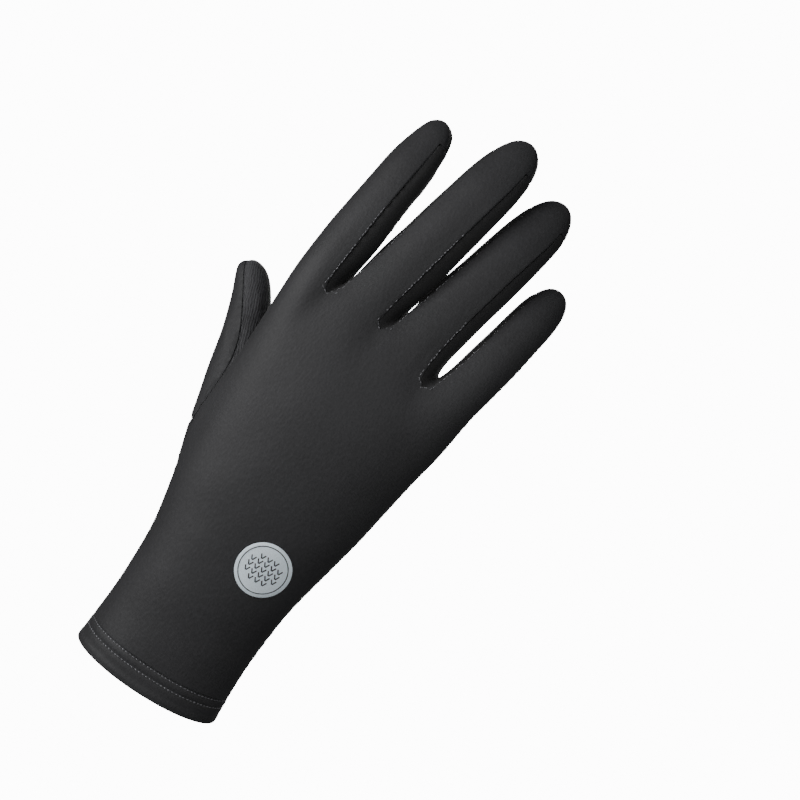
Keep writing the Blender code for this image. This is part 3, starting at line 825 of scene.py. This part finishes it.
def seam_tape(panel, settings, done):
    """The turned-in seam allowance that closes a panel's seams, from the rims that meet later panels."""
    source = merged_copy(panel.node, panel.node + "_seam")
    kinds, sewn_to = Glove.kinds[panel.node], Glove.neighbours[panel.node]
    shape = bmesh.new()
    shape.from_mesh(source.data)
    shape.faces.ensure_lookup_table()
    wanted = [face for face in shape.faces
              if any(node not in done and node != HEM for node in sewn_to.get(face.index, []))]
    outer = {}
    for face in wanted:
        for edge in face.edges:
            if any(kinds[other.index] == "face" for other in edge.link_faces):
                for vertex in edge.verts:
                    across = [spoke.other_vert(vertex) for spoke in vertex.link_edges
                              if all(kinds[other.index] == "rim" for other in spoke.link_faces)]
                    if across:
                        outer[vertex] = min(across, key=lambda other: (other.co - vertex.co).length).co.copy()
    for vertex, inner in outer.items():
        stands_open = 1.0 if panel.node == "thumb_back" else 0.0
        if Glove.strip_seams.find(vertex.co)[2] < NEIGHBOUR:
            stands_open = ease(Glove.strip_ends.find(vertex.co)[2] / settings.seam_end)
        vertex.co = vertex.co.lerp(inner, TAPE_DEPTH + (OPEN_TAPE_DEPTH - TAPE_DEPTH) * stands_open)
    unwanted = [face for face in shape.faces if face not in wanted]
    bmesh.ops.delete(shape, geom=unwanted, context="FACES")
    shape.to_mesh(source.data)
    shape.free()
    if not source.data.polygons:
        bpy.data.objects.remove(source)
        return None
    apply_modifier(source, "SOLIDIFY", thickness=TAPE_THICKNESS, offset=0.5)
    source.data.materials.append(seam_thread(settings))
    for face in source.data.polygons:
        face.material_index = 0
    subdivide_smooth(source, 2)
    source.data.shade_smooth()
    return source


def join(name, things):
    """Joins several objects into one piece with its place in its mesh."""
    bpy.context.view_layer.update()
    make_active(things[0])
    for thing in things:
        thing.select_set(True)
    if len(things) > 1:
        bpy.ops.object.join()
    bpy.ops.object.transform_apply(location=True, rotation=True, scale=True)
    things[0].name = name
    things[0].data.name = name
    return things[0]


def join_copies(name, pattern, places):
    """One piece from a copy of the pattern at each place. The pattern itself is removed."""
    copies = []
    for place in places:
        copy = bpy.data.objects.new(name, pattern.data.copy())
        bpy.context.scene.collection.objects.link(copy)
        copy.matrix_world = place
        copies.append(copy)
    bpy.data.objects.remove(pattern)
    return join(name, copies)


def standing(place, up, along):
    """The matrix that sets a pattern's +Z to a surface's normal and its +Y along a line on it."""
    right = along.cross(up).normalized()
    forward = up.cross(right)
    turned = Matrix((right, forward, up)).transposed().to_4x4()
    return Matrix.Translation(place) @ turned


def facing_directions(piece, up):
    """The way a cloth faces on the whole, level with its own up, and the way across it."""
    total = Vector((0, 0, 0))
    for face in piece.data.polygons:
        if face.material_index == OUTSIDE:
            total += face.normal * face.area
    out = (total - up * total.dot(up)).normalized()
    return out, out.cross(up)


def long_axis(piece):
    """The line along which a piece is longest, pointing to its upper end."""
    places = coordinates(piece.data)
    axis = Vector(np.linalg.svd(places - places.mean(axis=0), full_matrices=False)[2][0].tolist())
    return axis if axis.z > 0 else -axis


def dot_places(piece, up, dots, cover):
    """Places of the dots on one cloth: staggered rows, with their pitch measured along the surface."""
    out, across = facing_directions(piece, up)
    surface = surface_of([piece])
    places = coordinates(piece.data).astype(float)
    levels = places @ np.array(up)
    sides = places @ np.array(across)
    depth = float((places @ np.array(out)).max()) + RAY_REACH
    found = []
    row = 0
    level = float(levels.min()) + 0.5 * dots.row
    while level < levels.max():
        run, runs, side = [], [], float(sides.min())
        while side < sides.max():
            origin = up * level + across * side + out * depth
            hit, normal, number, distance = surface.ray_cast(origin, -out)
            if hit is not None and normal.dot(out) > DOT_FACING:
                if run and (hit - run[-1][0]).length > ROW_BREAK:
                    runs.append(run)
                    run = []
                run.append((hit, normal))
            elif run:
                runs.append(run)
                run = []
            side += RAY_STEP
        runs.append(run)
        for run in runs:
            found += spaced(run, dots.across, 0.5 * (row % 2))
        level += dots.row
        row += 1
    clear = [(hit, normal) for hit, normal in found if Glove.rims.find(hit)[2] > DOT_MARGIN]
    if cover:
        clear = [(hit, normal) for hit, normal in clear if not cover.find_nearest(hit, FLAP_MARGIN)[0]]
    return [standing(hit - normal * DOT_SUNK, normal, up) for hit, normal in clear]


def spaced(run, pitch, phase):
    """Points of a run at even steps along it, counted from its middle."""
    if len(run) < 3:
        return []
    walked = [0.0]
    for (first, normal), (second, other) in zip(run, run[1:]):
        walked.append(walked[-1] + (second - first).length)
    middle = walked[-1] / 2
    kept = []
    step = -math.floor(middle / pitch) - 1
    number = 0
    while True:
        wanted = middle + (step + phase) * pitch
        step += 1
        if wanted < 0:
            continue
        if wanted > walked[-1]:
            return kept
        while walked[number] < wanted:
            number += 1
        kept.append(run[number])


class GLOVE_OT_turn_seams(bpy.types.Operator):
    """Turns in the seam allowances that close the seams"""
    bl_idname = "glove.turn_seams"
    bl_label = "Turn seams in"

    def execute(self, context):
        tapes, done = [], set()
        for panel in PANELS:
            done.add(panel.node)
            tape = seam_tape(panel, context.scene.glove_stitches, done)
            if tape:
                tapes.append(tape)
        piece = join("seam_allowances", tapes)
        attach(piece, BODY)
        return {"FINISHED"}


class GLOVE_OT_print_dots(bpy.types.Operator):
    """Prints the rows of silicone grip dots on the rough knit"""
    bl_idname = "glove.print_dots"
    bl_label = "Print grip dots"

    def execute(self, context):
        dots = context.scene.glove_dots
        palm = bpy.data.objects[panel_of("palm_panel").piece]
        flap = bpy.data.objects[panel_of("index_tip_flap").piece]
        pad = bpy.data.objects[panel_of("thumb_pad").piece]
        places = dot_places(palm, Vector((0, 0, 1)), dots, surface_of([flap]))
        places += dot_places(flap, long_axis(flap), dots, None)
        on_thumb = dot_places(pad, long_axis(pad), dots, None)
        places += [place for place in on_thumb if place.col[2].y > PAD_FACING]
        piece = join_copies("grip_dots", dot_pattern(dots), places)
        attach(piece, BODY)
        return {"FINISHED"}


def dot_pattern(dots):
    """One low oval dome of silicone, its lower half below the cloth's face."""
    bpy.ops.object.select_all(action="DESELECT")
    bpy.ops.mesh.primitive_uv_sphere_add(segments=10, ring_count=6, radius=0.5)
    dome = bpy.context.active_object
    dome.scale = (dots.width, dots.length, 2 * dots.height)
    bpy.ops.object.transform_apply(location=False, rotation=False, scale=True)
    dome.data.shade_smooth()
    dome.data.materials.append(silicone(dots))
    return dome


def hem_ring(surface, height):
    """Points round the cuff at one height, where level rays from outside meet the cloth."""
    ring = []
    for step in range(HEM_RAYS):
        angle = 2 * math.pi * step / HEM_RAYS
        outward = Vector((math.sin(angle), -math.cos(angle), 0))
        start = outward * HEM_RAY_START + Vector((0, 0, height))
        hit, normal, number, distance = surface.ray_cast(start, -outward)
        if hit is not None:
            ring.append((hit, normal))
    return ring


class GLOVE_OT_stitch_seams(bpy.types.Operator):
    """Lays light stitches on the cloths' edges beside the side strips, as painted highlight along the seam's
    turned edge
    """
    bl_idname = "glove.stitch_seams"
    bl_label = "Stitch seams"

    def execute(self, context):
        stitches = context.scene.glove_stitches
        places = []
        for node, lines in Glove.strip_lines.items():
            surface = surface_of([bpy.data.objects[panel_of(node).piece]])
            for line in lines:
                places += edge_highlight_stitches(line, surface, stitches)
        # These light stitches are painted highlight: they stand in for the light caught by the seam's turned
        # edge
        pattern = stitch_pattern(stitches, stitches.seam_thread, stitches.seam_length)
        piece = join_copies("seam_stitches", pattern, places)
        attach(piece, BODY)
        return {"FINISHED"}


def edge_highlight_stitches(line, surface, stitches):
    """Matrices for stitches at even steps along a seam, a little inside the cloth's edge, whose light thread
    is painted highlight.
    """
    places, left = [], stitches.pitch / 2
    for here, following in zip(line, line[1:]):
        along = following - here
        while left < along.length:
            place = here + along * (left / along.length)
            left += stitches.pitch
            hit, normal, number, distance = surface.find_nearest(place)
            across = along.cross(normal).normalized() * stitches.seam_edge
            inner = max((place + across, place - across), key=lambda point: Glove.rims.find(point)[2])
            hit, normal, number, distance = surface.find_nearest(inner)
            if Glove.strip_ends.find(hit)[2] > stitches.seam_end:
                places.append(standing(hit, normal, along.normalized()))
        left -= along.length
    return places


class GLOVE_OT_stitch_hem(bpy.types.Operator):
    """Stitches the two rows that hold the cuff's hem, with a dark disc of painted shade at each needle hole
    between the stitches
    """
    bl_idname = "glove.stitch_hem"
    bl_label = "Stitch hem"

    def execute(self, context):
        stitches = context.scene.glove_stitches
        round_cuff = [panel_of(node).piece for node in (HEM, "back_panel", "wrist_panel")]
        surface = surface_of([bpy.data.objects[name] for name in round_cuff])
        places, holes = [], []
        for height in (stitches.lower_row, stitches.upper_row):
            ring = hem_ring(surface, BOX_LOW.z + height)
            places += stitch_places(ring, stitches.pitch, 0)
            # The dark discs between the stitches are painted shade in the needle holes
            holes += stitch_places(ring, stitches.pitch, 0.5)
        pattern = stitch_pattern(stitches, stitches.thread, stitches.length)
        threads = join_copies("hem_stitches", pattern, places)
        hole_shade_discs = join_copies("hem_needle_holes", hole_shade_pattern(stitches), holes)
        for piece in (threads, hole_shade_discs):
            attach(piece, BODY)
        return {"FINISHED"}


def stitch_places(ring, pitch, phase):
    """Matrices for stitches at even steps round a closed ring of points on the cloth."""
    closed = ring + ring[:1]
    walked = [0.0]
    for (here, normal), (following, other) in zip(closed, closed[1:]):
        walked.append(walked[-1] + (following - here).length)
    count = round(walked[-1] / pitch)
    places = []
    number = 0
    for stitch in range(count):
        while walked[number + 1] < (stitch + phase) * walked[-1] / count:
            number += 1
        (here, normal), (following, other) = closed[number], closed[number + 1]
        places.append(standing(here, normal, (following - here).normalized()))
    return places


def hole_shade_pattern(stitches):
    """A flat dark disc at one needle's hole: painted shade where the hole's shade falls, with no hole cut in
    the cloth.
    """
    bpy.ops.object.select_all(action="DESELECT")
    bpy.ops.mesh.primitive_uv_sphere_add(segments=8, ring_count=4, radius=0.5)
    hole = bpy.context.active_object
    hole.scale = (stitches.hole, stitches.hole, 0.25 * stitches.hole)
    bpy.ops.object.transform_apply(location=False, rotation=False, scale=True)
    hole.data.shade_smooth()
    # The seam allowance's dark material serves here as the painted shade in the hole
    hole.data.materials.append(seam_thread(stitches))
    return hole


def stitch_pattern(stitches, thickness, length):
    """One stitch: a short thread with round ends, half sunk in the cloth."""
    bpy.ops.object.select_all(action="DESELECT")
    bpy.ops.mesh.primitive_uv_sphere_add(segments=8, ring_count=6, radius=0.5, rotation=(math.pi / 2, 0, 0))
    thread = bpy.context.active_object
    bpy.ops.object.transform_apply(location=False, rotation=True, scale=False)
    thread.scale = (thickness, length, thickness)
    bpy.ops.object.transform_apply(location=False, rotation=False, scale=True)
    thread.data.shade_smooth()
    thread.data.materials.append(polyester_thread(stitches))
    return thread


def silicone(dots):
    # Screen-printed silicone, cured clear over black: wet-looking and slightly soft
    made, tree, shader = new_material("printed_silicone")
    if tree is None:
        return made
    place = add_node(tree, "ShaderNodeTexCoord").outputs["Object"]
    skin = add_node(tree, "ShaderNodeTexNoise", {"Scale": 1 / (1.11 * MM), "Detail": 2.0}, {"Vector": place})
    dress_shader(tree, shader, skin.outputs["Fac"], shaded(dots.colour, 0.8), shaded(dots.colour, 1.3),
                 height=skin.outputs["Fac"], strength=0.15, depth=0.05 * MM)
    set_shader(shader, roughness=0.16, specular_ior_level=0.6, coat_weight=0.5, coat_roughness=0.08)
    return made


def polyester_thread(stitches):
    # Twisted polyester thread: its plies catch the light in fine slanted lines
    made, tree, shader = new_material("polyester_thread")
    if tree is None:
        return made
    place = add_node(tree, "ShaderNodeTexCoord").outputs["Object"]
    plies = add_node(tree, "ShaderNodeTexWave", {"Scale": WAVE_PERIOD / (0.66 * MM),
                                                 "bands_direction": "DIAGONAL"}, {"Vector": place})
    dark, light = shaded(stitches.colour, 0.7), shaded(stitches.colour, 1.2)
    dress_shader(tree, shader, plies.outputs["Fac"], dark, light, height=plies.outputs["Fac"], strength=0.5,
                 depth=0.08 * MM)
    set_shader(shader, roughness=0.5, sheen_weight=0.15)
    return made


def seam_thread(stitches):
    # Overlocked seam allowance: black thread drawn tight over the cut edges
    return knit("overlocked_seam", shaded(stitches.colour, 0.25), 0.5 * MM, 0.1 * MM, 0.2, 0.85, 0.0)


def film_disc(badge):
    """The round film, laid on the cloth of the back of the wrist."""
    low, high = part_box("badge")
    middle = (low + high) / 2
    radius = (high.z - low.z) / 2
    bpy.ops.object.select_all(action="DESELECT")
    bpy.ops.mesh.primitive_circle_add(vertices=badge.sides, radius=radius, fill_type="NGON",
                                      location=(middle.x, low.y - RAY_REACH, middle.z),
                                      rotation=(math.pi / 2, 0, 0))
    disc = bpy.context.active_object
    disc.name = "badge_film"
    disc.data.name = "badge_film"
    bpy.ops.object.mode_set(mode="EDIT")
    for ring in range(FILM_RINGS):
        bpy.ops.mesh.inset(thickness=radius / (FILM_RINGS + 1), depth=0)
    bpy.ops.mesh.poke()
    bpy.ops.object.mode_set(mode="OBJECT")
    bpy.ops.object.transform_apply(location=True, rotation=True, scale=True)
    lay_on(disc, bpy.data.objects[panel_of("back_panel").piece], FILM_GAP)
    apply_modifier(disc, "SOLIDIFY", thickness=badge.film, offset=1)
    apply_modifier(disc, "BEVEL", width=FILM_ROUND, segments=2, limit_method="ANGLE", angle_limit=RIM_ANGLE)
    disc.data.shade_smooth()
    disc.data.materials.append(transfer_film(badge))
    return disc, middle, radius


def lay_on(thing, target, gap):
    """Drops a flat piece back onto a surface, along +Y."""
    apply_modifier(thing, "SHRINKWRAP", target=target, wrap_method="PROJECT", use_project_y=True,
                   use_negative_direction=False, use_positive_direction=True, offset=gap,
                   wrap_mode="ON_SURFACE")
    thing.data.update()


def printed_ring(badge, middle, radius):
    """A flat ring of ink as the printer lays it, in front of the film."""
    bpy.ops.object.select_all(action="DESELECT")
    bpy.ops.mesh.primitive_circle_add(vertices=badge.sides, radius=radius, fill_type="NGON",
                                      location=(middle.x, middle.y - RAY_REACH, middle.z),
                                      rotation=(math.pi / 2, 0, 0))
    ring = bpy.context.active_object
    bpy.ops.object.mode_set(mode="EDIT")
    bpy.ops.mesh.inset(thickness=badge.line, depth=0)
    bpy.ops.mesh.delete(type="FACE")
    bpy.ops.object.mode_set(mode="OBJECT")
    return ring


def printed_bar(badge, middle, across, up, lean, length):
    """A short bar of ink that leans, at a distance across and up from the badge's middle."""
    bpy.ops.object.select_all(action="DESELECT")
    bpy.ops.mesh.primitive_plane_add(size=1.0)
    bar = bpy.context.active_object
    bpy.ops.object.mode_set(mode="EDIT")
    bpy.ops.mesh.subdivide(number_cuts=3)
    bpy.ops.object.mode_set(mode="OBJECT")
    place = Matrix.Translation((middle.x + across, middle.y - RAY_REACH, middle.z + up))
    upright = Matrix.Rotation(math.pi / 2, 4, "X")
    size = Matrix.Diagonal((badge.bar, length, 1, 1))
    bar.matrix_world = place @ Matrix.Rotation(lean, 4, "Y") @ upright @ size
    return bar


def printed_loops(badge, middle, radius):
    """Rows of leaning bars in pairs, as the loops of a plain knit show, where they fit in the border."""
    bars = []
    half_columns, half_rows = badge.columns // 2, badge.rows // 2
    for column in range(-half_columns, half_columns + 1):
        for row in range(-half_rows, half_rows + 1):
            across, up = column * badge.loop_width, row * badge.loop_height
            if math.hypot(across, up) + badge.loop_width / 2 > PRINT_SHARE * radius:
                continue
            for side in (-1, 1):
                bars.append(printed_bar(badge, middle, across + side * LOOP_SPREAD * badge.loop_width, up,
                                        side * badge.loop_lean, BAR_SHARE * badge.loop_height))
    return bars


class GLOVE_OT_press_badge(bpy.types.Operator):
    """Presses the round silver film on the wrist and prints its border and knit loops"""
    bl_idname = "glove.press_badge"
    bl_label = "Press badge"

    def execute(self, context):
        badge = context.scene.glove_badge
        disc, middle, radius = film_disc(badge)
        inks = [printed_ring(badge, middle, BORDER_SHARE * radius)] + printed_loops(badge, middle, radius)
        ink = join("badge_print", inks)
        lay_on(ink, disc, INK_GAP)
        apply_modifier(ink, "SOLIDIFY", thickness=INK_THICKNESS, offset=1)
        ink.data.materials.clear()
        ink.data.materials.append(printing_ink(badge))
        for piece in (disc, ink):
            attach(piece, BODY)
        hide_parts("badge")
        return {"FINISHED"}


def transfer_film(badge):
    # Heat-transfer film: silver flake under a satin skin that has taken the knit's grain in the press
    made, tree, shader = new_material("silver_transfer_film")
    if tree is None:
        return made
    place = add_node(tree, "ShaderNodeTexCoord").outputs["Object"]
    flake = add_node(tree, "ShaderNodeTexVoronoi", {"Scale": 1 / (0.35 * MM)}, {"Vector": place})
    grain = add_node(tree, "ShaderNodeTexNoise", {"Scale": 1 / (0.9 * MM), "Detail": 3.0}, {"Vector": place})
    light, dark = shaded(badge.colour, 1.05), shaded(badge.colour, 0.86)
    dress_shader(tree, shader, flake.outputs["Distance"], light, dark, (0.1, 0.8), grain.outputs["Fac"], 0.35,
                 0.06 * MM)
    set_shader(shader, roughness=0.42, metallic=0.15, specular_ior_level=0.5)
    return made


def printing_ink(badge):
    # Dark screen ink over the film, matt beside its satin
    made, tree, shader = new_material("screen_ink")
    if tree is None:
        return made
    place = add_node(tree, "ShaderNodeTexCoord").outputs["Object"]
    body = add_node(tree, "ShaderNodeTexNoise", {"Scale": 1 / (0.6 * MM), "Detail": 2.0}, {"Vector": place})
    dress_shader(tree, shader, body.outputs["Fac"], shaded(badge.ink, 0.85), shaded(badge.ink, 1.2))
    set_shader(shader, roughness=0.6)
    return made


class GLOVE_OT_set_stage(bpy.types.Operator):
    """Sets the pale floor, the studio lights and the camera"""
    bl_idname = "glove.set_stage"
    bl_label = "Set stage"

    def execute(self, context):
        stage = context.scene.glove_stage
        place_camera(stage)
        lay_floor(stage)
        middle = (BOX_LOW + BOX_HIGH) / 2
        for lamp in LAMPS:
            add_light(lamp.name, middle + Vector(lamp.offset), middle, lamp.size, getattr(stage, lamp.power))
        return {"FINISHED"}


def place_camera(stage):
    """Stands the camera level before the back of the hand, rolled as the glove leans in the photo."""
    camera = bpy.data.objects.new("photo_camera", bpy.data.cameras.new("photo_camera"))
    bpy.context.scene.collection.objects.link(camera)
    camera.data.lens = stage.lens
    level = Matrix.Rotation(math.radians(90), 4, "X")
    roll = Matrix.Rotation(-stage.camera_roll, 4, "Y")
    camera.matrix_world = Matrix.Translation(stage.camera_place) @ roll @ level
    bpy.context.scene.camera = camera


def add_light(name, place, target, size, power):
    """A square lamp that faces its target and isn't seen itself."""
    light = bpy.data.lights.new(name, "AREA")
    light.size = size
    light.energy = power
    lamp = bpy.data.objects.new(name, light)
    bpy.context.scene.collection.objects.link(lamp)
    lamp.visible_camera = False
    turned = (target - place).to_track_quat("-Z", "Y").to_matrix().to_4x4()
    lamp.matrix_world = Matrix.Translation(place) @ turned


def lay_floor(stage):
    """A pale seamless sweep: a floor below the cuff that turns up into a wall far behind the glove."""
    bpy.ops.object.select_all(action="DESELECT")
    bpy.ops.mesh.primitive_plane_add(size=FLOOR_SIZE, location=(0, 0, FLOOR_LEVEL))
    floor = bpy.context.active_object
    floor.name = "studio_floor"
    bpy.ops.object.mode_set(mode="EDIT")
    bpy.ops.mesh.select_all(action="DESELECT")
    bpy.ops.object.mode_set(mode="OBJECT")
    for edge in floor.data.edges:
        edge.select = all(floor.data.vertices[corner].co.y > 0 for corner in edge.vertices)
    bpy.ops.object.mode_set(mode="EDIT")
    bpy.ops.mesh.extrude_edges_move(TRANSFORM_OT_translate={"value": (0, 0, FLOOR_SIZE)})
    bpy.ops.object.mode_set(mode="OBJECT")
    apply_modifier(floor, "BEVEL", width=SWEEP_RADIUS, segments=12, limit_method="ANGLE")
    make_active(floor)
    bpy.ops.object.transform_apply(location=True, rotation=True, scale=True)
    floor.data.shade_smooth()
    floor.data.materials.append(studio_paper(stage))
    floor.visible_diffuse = False
    floor.visible_glossy = False
    world = bpy.data.worlds.new("studio")
    world.use_nodes = True
    background = world.node_tree.nodes["Background"]
    background.inputs["Color"].default_value = (1, 1, 1, 1)
    background.inputs["Strength"].default_value = stage.room
    world.cycles_visibility.diffuse = False
    world.cycles_visibility.glossy = False
    bpy.context.scene.world = world


def studio_paper(stage):
    # Matt background paper, lit through from behind: pale, even and without a pattern that would show
    made, tree, shader = new_material("background_paper")
    if tree is None:
        return made
    place = add_node(tree, "ShaderNodeTexCoord").outputs["Object"]
    fibre = add_node(tree, "ShaderNodeTexNoise", {"Scale": 1 / (3.33 * MM), "Detail": 2.0},
                     {"Vector": place})
    bump = add_node(tree, "ShaderNodeBump", {"Strength": 0.05, "Distance": 0.1 * MM},
                    {"Height": fibre.outputs["Fac"]})
    tree.links.new(bump.outputs["Normal"], shader.inputs["Normal"])
    set_shader(shader, base_color=stage.floor_colour, roughness=0.9, specular_ior_level=0.2,
               emission_color=stage.floor_colour, emission_strength=stage.paper_glow)
    return made


class GLOVE_PT_panel(bpy.types.Panel):
    """Lists the glove's pieces in the sidebar"""
    bl_idname = "GLOVE_PT_panel"
    bl_label = "Sun Protection Glove"
    bl_space_type = "VIEW_3D"
    bl_region_type = "UI"
    bl_category = "Glove"

    def draw(self, context):
        for operator in OPERATORS:
            self.layout.operator(operator.bl_idname)
        for name in SETTINGS:
            settings = getattr(context.scene, name)
            box = self.layout.box()
            for field in settings.__annotations__:
                box.prop(settings, field)


SETTINGS = {
    "glove_cloth": ClothSettings,
    "glove_dots": DotSettings,
    "glove_stitches": StitchSettings,
    "glove_badge": BadgeSettings,
    "glove_stage": StageSettings,
}
OPERATORS = [
    GLOVE_OT_sew_back, GLOVE_OT_sew_palm, GLOVE_OT_sew_wrist, GLOVE_OT_sew_strips, GLOVE_OT_sew_fingertip,
    GLOVE_OT_sew_thumb, GLOVE_OT_sew_hem, GLOVE_OT_turn_seams, GLOVE_OT_stitch_seams, GLOVE_OT_stitch_hem,
    GLOVE_OT_print_dots, GLOVE_OT_press_badge, GLOVE_OT_set_stage,
]


def register():
    for group in SETTINGS.values():
        bpy.utils.register_class(group)
    for name, group in SETTINGS.items():
        setattr(bpy.types.Scene, name, bpy.props.PointerProperty(type=group))
    for operator in OPERATORS:
        bpy.utils.register_class(operator)
    bpy.utils.register_class(GLOVE_PT_panel)


def unregister():
    bpy.utils.unregister_class(GLOVE_PT_panel)
    for operator in reversed(OPERATORS):
        bpy.utils.unregister_class(operator)
    for name, group in reversed(SETTINGS.items()):
        delattr(bpy.types.Scene, name)
        bpy.utils.unregister_class(group)


def main():
    register()
    bpy.ops.glove.sew_back()
    bpy.ops.glove.sew_palm()
    bpy.ops.glove.sew_wrist()
    bpy.ops.glove.sew_strips()
    bpy.ops.glove.sew_fingertip()
    bpy.ops.glove.sew_thumb()
    bpy.ops.glove.sew_hem()
    bpy.ops.glove.turn_seams()
    bpy.ops.glove.stitch_seams()
    bpy.ops.glove.stitch_hem()
    bpy.ops.glove.print_dots()
    bpy.ops.glove.press_badge()
    bpy.ops.glove.set_stage()


if __name__ == "__main__":
    main()
